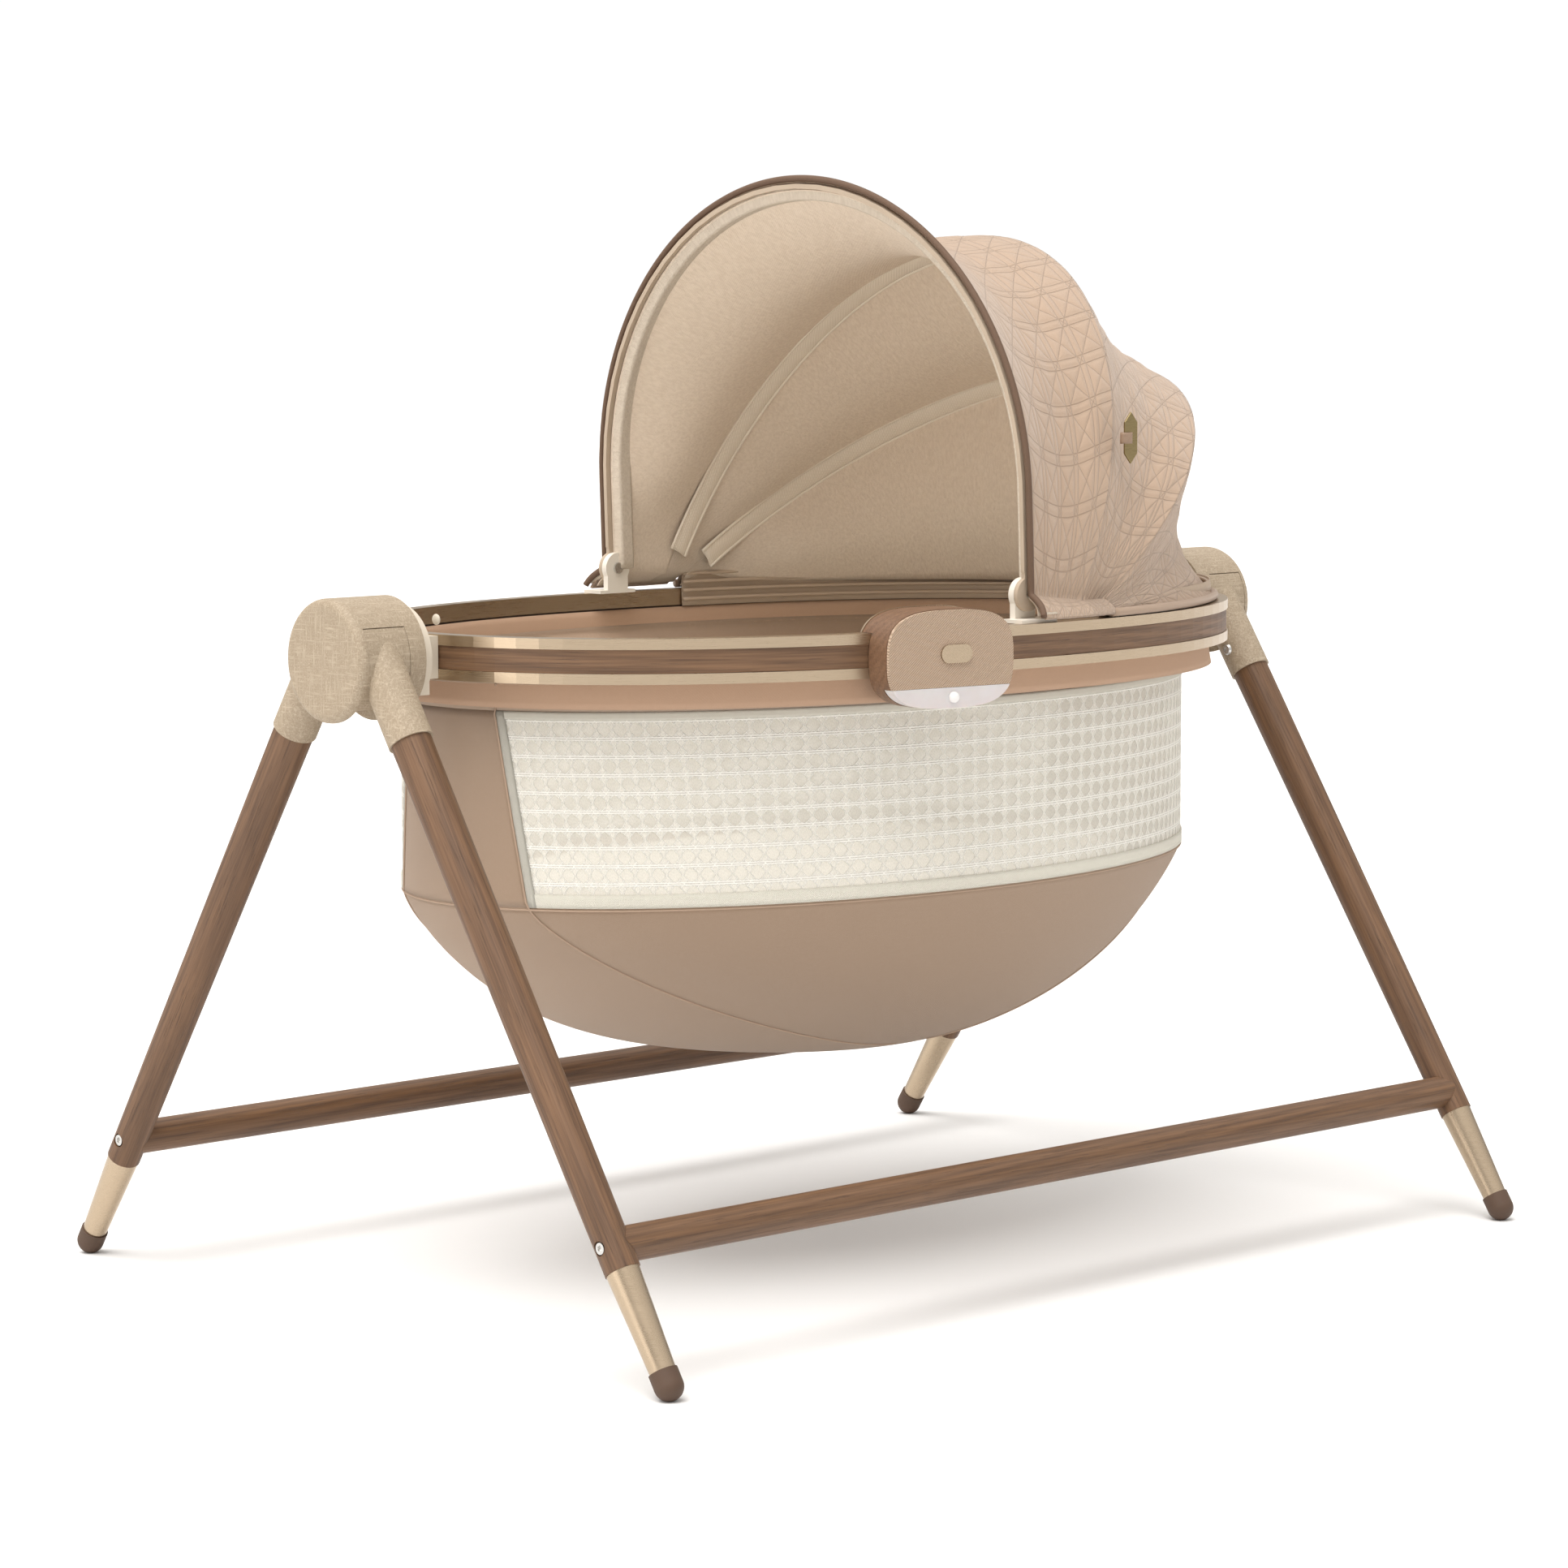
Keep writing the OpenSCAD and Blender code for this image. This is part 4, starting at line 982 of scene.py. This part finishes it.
def panel(first, second, bulge, inset, quilted, skirted):
    # Returns place(u, w): u runs from front foot to back foot, w from the first bow to the second.
    skirt = canopy["skirt"] if skirted else 0

    def place(u, w):
        if skirt and u < skirt:
            f, drop = 0.0, 1 - u / skirt
        elif skirt and u > 1 - skirt:
            f, drop = 1.0, 1 - (1 - u) / skirt
        else:
            f, drop = (u - skirt) / (1 - 2 * skirt), 0.0
        a, b = first(f, inset), second(f, inset)
        point = mix(a, b, w)
        out = (point - canopyMiddle).normalized()
        fade = smoothShare(min(f, 1 - f), 0.0, 0.12)
        point = point + out * bulge(w, f) * fade
        if drop:
            edge = math.copysign(rimSide(point.x) + canopy["flare"] * 0.25 - inset, point.y)
            stand = 0.001 if inset == 0 else 0.003
            hem = Vector((point.x - 0.004 * drop, edge, canopy["hemHeight"] + stand))
            point = mix(point, hem, drop)
            point.y += math.copysign(0.004 * math.sin(math.pi * drop), point.y)
        if quilted:
            along = u * 1.06
            edgeFade = smoothShare(min(w, 1 - w), 0, 0.12)
            endFade = smoothShare(min(u, 1 - u), 0, 0.03)
            height = puff(along, w * 0.22) + creases(along, w, edgeFade)
            point = point + out * height * endFade * (0.35 + 0.65 * edgeFade)
        return point

    def uv(u, w):
        return u * 1.06, w * 0.22
    return place, uv


def frontBulge(w, f):
    # fabric from the middle bow (w = 0) to the front bow (w = 1) sags, more on the far side
    crown = math.sin(math.pi * f) ** 0.8
    sag = math.sin(math.pi * w ** 1.25) ** 0.9
    return -crown * (0.029 * sag * (1 + max(0, f - 0.5)) + 0.002 * (1 - w) ** 4)


def middleBulge(w, f):
    # fabric between the rear bow (w = 0) and the middle bow (w = 1) falls into a valley
    crown = math.sin(math.pi * f) ** 0.6
    return -crown * (0.017 * math.sin(math.pi * w ** 0.95) + 0.002 * w ** 4)


def rearBulge(w, f):
    return -0.034 * math.sin(math.pi * w ** 0.8) ** 1.1 * math.sin(math.pi * f) ** 0.7


def makePanel(name, first, second, bulge, nodeName, skirted):
    place, uv = panel(first, second, bulge, 0.0, True, skirted)
    bm = sheetMesh(300, 66, place, canopyMiddle, False, uv)
    outer = finishPiece(bm, "canopyQuilt_" + name, "quilt", None, canopy["thick"])
    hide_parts(nodeName)

    def liningBulge(w, f):
        return bulge(w, f) - 0.004 * math.sin(math.pi * w)
    place, uv = panel(first, second, liningBulge, canopy["liningGap"], False, skirted)
    bm = sheetMesh(120, 20, place, canopyMiddle, False, uv)
    inner = finishPiece(bm, "canopyLining_" + name, "lining", None, 0.0008)
    for piece in (outer, inner):
        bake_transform(piece)


makePanel("front", middleArch, frontArch, frontBulge,
          "canopy_front_panel", True)
makePanel("middle", rearArch, middleArch, middleBulge,
          "canopy_middle_panel", True)
makePanel("rear", hemArch, rearArch, rearBulge,
          "canopy_rear_panel", False)
print("canopy panels are made")


rodTape = {"start": 0.02, "inset": 0.0060, "width": 0.018, "crown": 0.0022, "thick": 0.0012,
           "edgeInset": 0.0066, "edgeShift": 0.0088, "edgeRadius": 0.0014, "edgePoints": 120}


def acrossBow(angle):
    return Vector((-math.sin(math.radians(angle)), 0, math.cos(math.radians(angle))))


def archTape(name, arch, angle, body):
    # A flat tape sewn along a bow on the canopy's inner side.
    def place(u, w):
        point = arch(mix(rodTape["start"], 1 - rodTape["start"], u), canopy["liningGap"] + rodTape["inset"])
        inward = (canopyMiddle - point).normalized()
        crown = rodTape["crown"] * math.sin(math.pi * w)
        return point + acrossBow(angle) * (w - 0.5) * rodTape["width"] + inward * crown
    bm = innerSheet(140, 6, place, canopyMiddle, False, lambda u, w: (u, w * rodTape["width"]))
    return finishPiece(bm, name, "tape", body, rodTape["thick"])


def makeEdges():
    # front edge: dark piping outside, a soft facing inside
    def frontEdge(f, inset=0.0):
        end = 0.055
        if f < end or f > 1 - end:
            share = 1 - min(f, 1 - f) / end
            base = frontArch(0 if f < 0.5 else 1, inset)
            edge = math.copysign(rimSide(base.x) + canopy["flare"] * 0.3, base.y)
            hem = Vector((base.x - 0.006, edge, canopy["hemHeight"] + 0.003))
            point = mix(base, hem, share)
            point.y += math.copysign(0.004 * math.sin(math.pi * share), point.y)
            return point
        return frontArch((f - end) / (1 - 2 * end), inset)
    edge = [frontEdge(i / 199) + Vector((-0.0022, 0, 0)) for i in range(200)]
    roundCord("frontPiping", edge, 0.0028, "piping", "front_bow")

    def facing(u, w):
        f = mix(0.005, 0.995, u)
        outer = frontEdge(f, 0.0050)
        inner = frontEdge(f, 0.0190)
        point = mix(outer, inner, smoothShare(w, 0, 0.25))
        point.x += mix(0.0005, 0.016, max(w - 0.1, 0) / 0.9)
        return point
    bm = innerSheet(160, 10, facing, canopyMiddle, False, lambda u, w: (u * 1.06, w * 0.045))
    piece = finishPiece(bm, "frontFacing", "facing", "front_bow", 0.001)
    # satin bindings over the middle and rear rods
    for name, arch, angle, body in (("middle", middleArch, canopy["middleAngle"], "middle_bow"),
                                    ("rear", rearArch, canopy["rearAngle"], "rear_bow")):
        piece = archTape("rodTape_" + name, arch, angle, body)
        for side, sign in (("Near", -1), ("Far", 1)):
            def edgePoint(f, shift=sign * rodTape["edgeShift"]):
                f = mix(rodTape["start"], 1 - rodTape["start"], f)
                return arch(f, canopy["liningGap"] + rodTape["edgeInset"]) + acrossBow(angle) * shift
            points = seamPoints(edgePoint, rodTape["edgePoints"])
            roundCord(f"rodTapeEdge{side}_{name}", points, rodTape["edgeRadius"], "tape", body)


liner = {"aboveWindow": 0.004, "belowTop": 0.0165, "deep": 0.0155, "swell": 0.0025, "thick": 0.0012}


def makeRimLiner():
    # shell fabric over the rim's inner side, up to the top strip's lip
    low, high = tub["windowTop"] + liner["aboveWindow"], rimTop - liner["belowTop"]

    def place(u, w):
        z = mix(low, high, w)
        deep = liner["deep"] + liner["swell"] * math.sin(math.pi * w)
        return rimPoint(math.tau * u, deep, z)
    bm = innerSheet(200, 8, place, Vector((0, 0, high)), True, lambda u, w: (u * 2.2, mix(low, high, w)))
    piece = finishPiece(bm, "rimLiner", "liner", "cradle", liner["thick"])


def makeHem():
    # rolled hem round the canopy end, resting on the rim, and the zip inside it
    count = 150
    points = [hemArch(i / (count - 1)) + Vector((0, 0, 0.0012)) for i in range(count)]
    roundCord("hemRoll", points, 0.0038, "quilt", "cradle")

    def zipPlace(u, w):
        point = rimPoint(mix(-hemTurn, hemTurn, u), 0.0170 - 0.001 * math.sin(math.pi * w), 0)
        return Vector((point.x, point.y, canopy["hemHeight"] + mix(-0.019, 0.014, w)))
    bm = innerSheet(140, 6, zipPlace, canopyMiddle, False, lambda u, w: (u * 1.05, w * 0.033))
    piece = finishPiece(bm, "zipTape", "zip", "cradle", 0.0012)
    for name, height in (("Low", -0.0125), ("Middle", -0.0045), ("High", 0.0035), ("Top", 0.0110)):
        points = [rimPoint(mix(-hemTurn, hemTurn, i / (count - 1)), 0.0180, canopy["hemHeight"] + height)
                  for i in range(count)]
        roundCord("zipRidge" + name, points, 0.0016, "zip", "cradle")


def makeTag():
    low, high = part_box("canopy_tag")
    plate = {"height": high.z - low.z, "width": 0.015, "thick": 0.0018, "edge": 0.0004,
             "loopWidth": 0.0095, "loopLength": 0.012, "loopHalfDepth": 0.0032, "lift": 0.007}
    middle = (low + high) / 2
    out = Vector((middle.x - canopyMiddle.x, middle.y, 0)).normalized()
    middle = middle + out * plate["lift"]
    side = Vector((-out.y, out.x, 0))
    turn = Matrix((side, Vector((0, 0, 1)), out)).transposed().to_4x4()
    at = Matrix.Translation(middle) @ turn
    bm = bmesh.new()
    bmesh.ops.create_circle(bm, cap_ends=True, segments=6, radius=0.5)
    for vert in bm.verts:
        half = plate["height"] * (0.5 if abs(vert.co.x) < 0.1 else 0.30)
        across = math.copysign(plate["width"] / 2, vert.co.x) if abs(vert.co.x) > 0.1 else 0
        vert.co = Vector((across, math.copysign(half, vert.co.y), 0))
    made = bmesh.ops.extrude_face_region(bm, geom=bm.faces[:])
    top = [item for item in made["geom"] if isinstance(item, bmesh.types.BMVert)]
    bmesh.ops.translate(bm, vec=(0, 0, plate["thick"]), verts=top)
    bmesh.ops.recalc_face_normals(bm, faces=bm.faces)
    bmesh.ops.bevel(bm, geom=bm.edges[:], offset=plate["edge"], offset_type="OFFSET", segments=2,
                    profile=0.5,
                    affect="EDGES", material=-1)
    bmesh.ops.transform(bm, matrix=at, verts=bm.verts)
    piece = finishPiece(bm, "tagPlate", "brass", "middle_bow", smooth=False)
    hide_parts("canopy_tag")

    # leather loop round the plate's waist, sewn into the seam behind it
    def loopPlace(u, w):
        c, s = math.cos(math.tau * u), math.sin(math.tau * u)
        x = math.copysign(abs(c) ** 0.6, c) * plate["loopLength"] / 2 - 0.005
        z = math.copysign(abs(s) ** 0.8, s) * plate["loopHalfDepth"] + plate["thick"] / 2
        return at @ Vector((x, (w - 0.5) * plate["loopWidth"], z))
    bm = sheetMesh(40, 4, loopPlace, middle, True, lambda u, w: (u * 0.05, w * 0.01))
    finishPiece(bm, "tagLoop", "leather", "middle_bow", 0.0011)


makeEdges()
makeRimLiner()
makeHem()
makeTag()
print("canopy edges are made")


def makeBracketButtons():
    # a small round cap on the face of each end bracket
    for side, sign in (("left", -1), ("right", 1)):
        low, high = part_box("end_bracket_" + side)
        face = low.x if sign > 0 else high.x
        bm = bmesh.new()
        bmesh.ops.create_uvsphere(bm, u_segments=24, v_segments=12, radius=0.0045)
        bmesh.ops.scale(bm, vec=(0.5, 1, 1), verts=bm.verts)
        bmesh.ops.translate(bm, vec=(face, -0.024, rimTop + 0.012), verts=bm.verts)
        finishPiece(bm, "bracketCap_" + side, "plate", "cradle")


def makeSensorDot():
    low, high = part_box("motion_lens")
    middle = (low + high) / 2
    bm = bmesh.new()
    bmesh.ops.create_cone(bm, cap_ends=True, segments=20, radius1=0.0013, radius2=0.0013, depth=0.002)
    bmesh.ops.rotate(bm, cent=(0, 0, 0), matrix=Matrix.Rotation(math.pi / 2, 3, "X"), verts=bm.verts)
    bmesh.ops.translate(bm, vec=(middle.x + 0.0105, low.y + 0.0045, middle.z + 0.0005), verts=bm.verts)
    finishPiece(bm, "sensorDot", "dark", "cradle")


makeBracketButtons()
makeSensorDot()

floor = bpy.data.meshes.new("floor")
bm = bmesh.new()
bmesh.ops.create_grid(bm, x_segments=1, y_segments=1, size=studio["floor"])
bm.to_mesh(floor)
bm.free()
floorPiece = bpy.data.objects.new("floor", floor)
scene.collection.objects.link(floorPiece)


def floorFinish(g):
    tone = g.mix(g.noise(g.objectPlace(), 3, 2), (0.80, 0.80, 0.80), (0.82, 0.82, 0.82))
    return {"Base Color": tone, "Roughness": 0.9}


floor.materials.append(material("paleFloor", floorFinish))
print("stage is set")
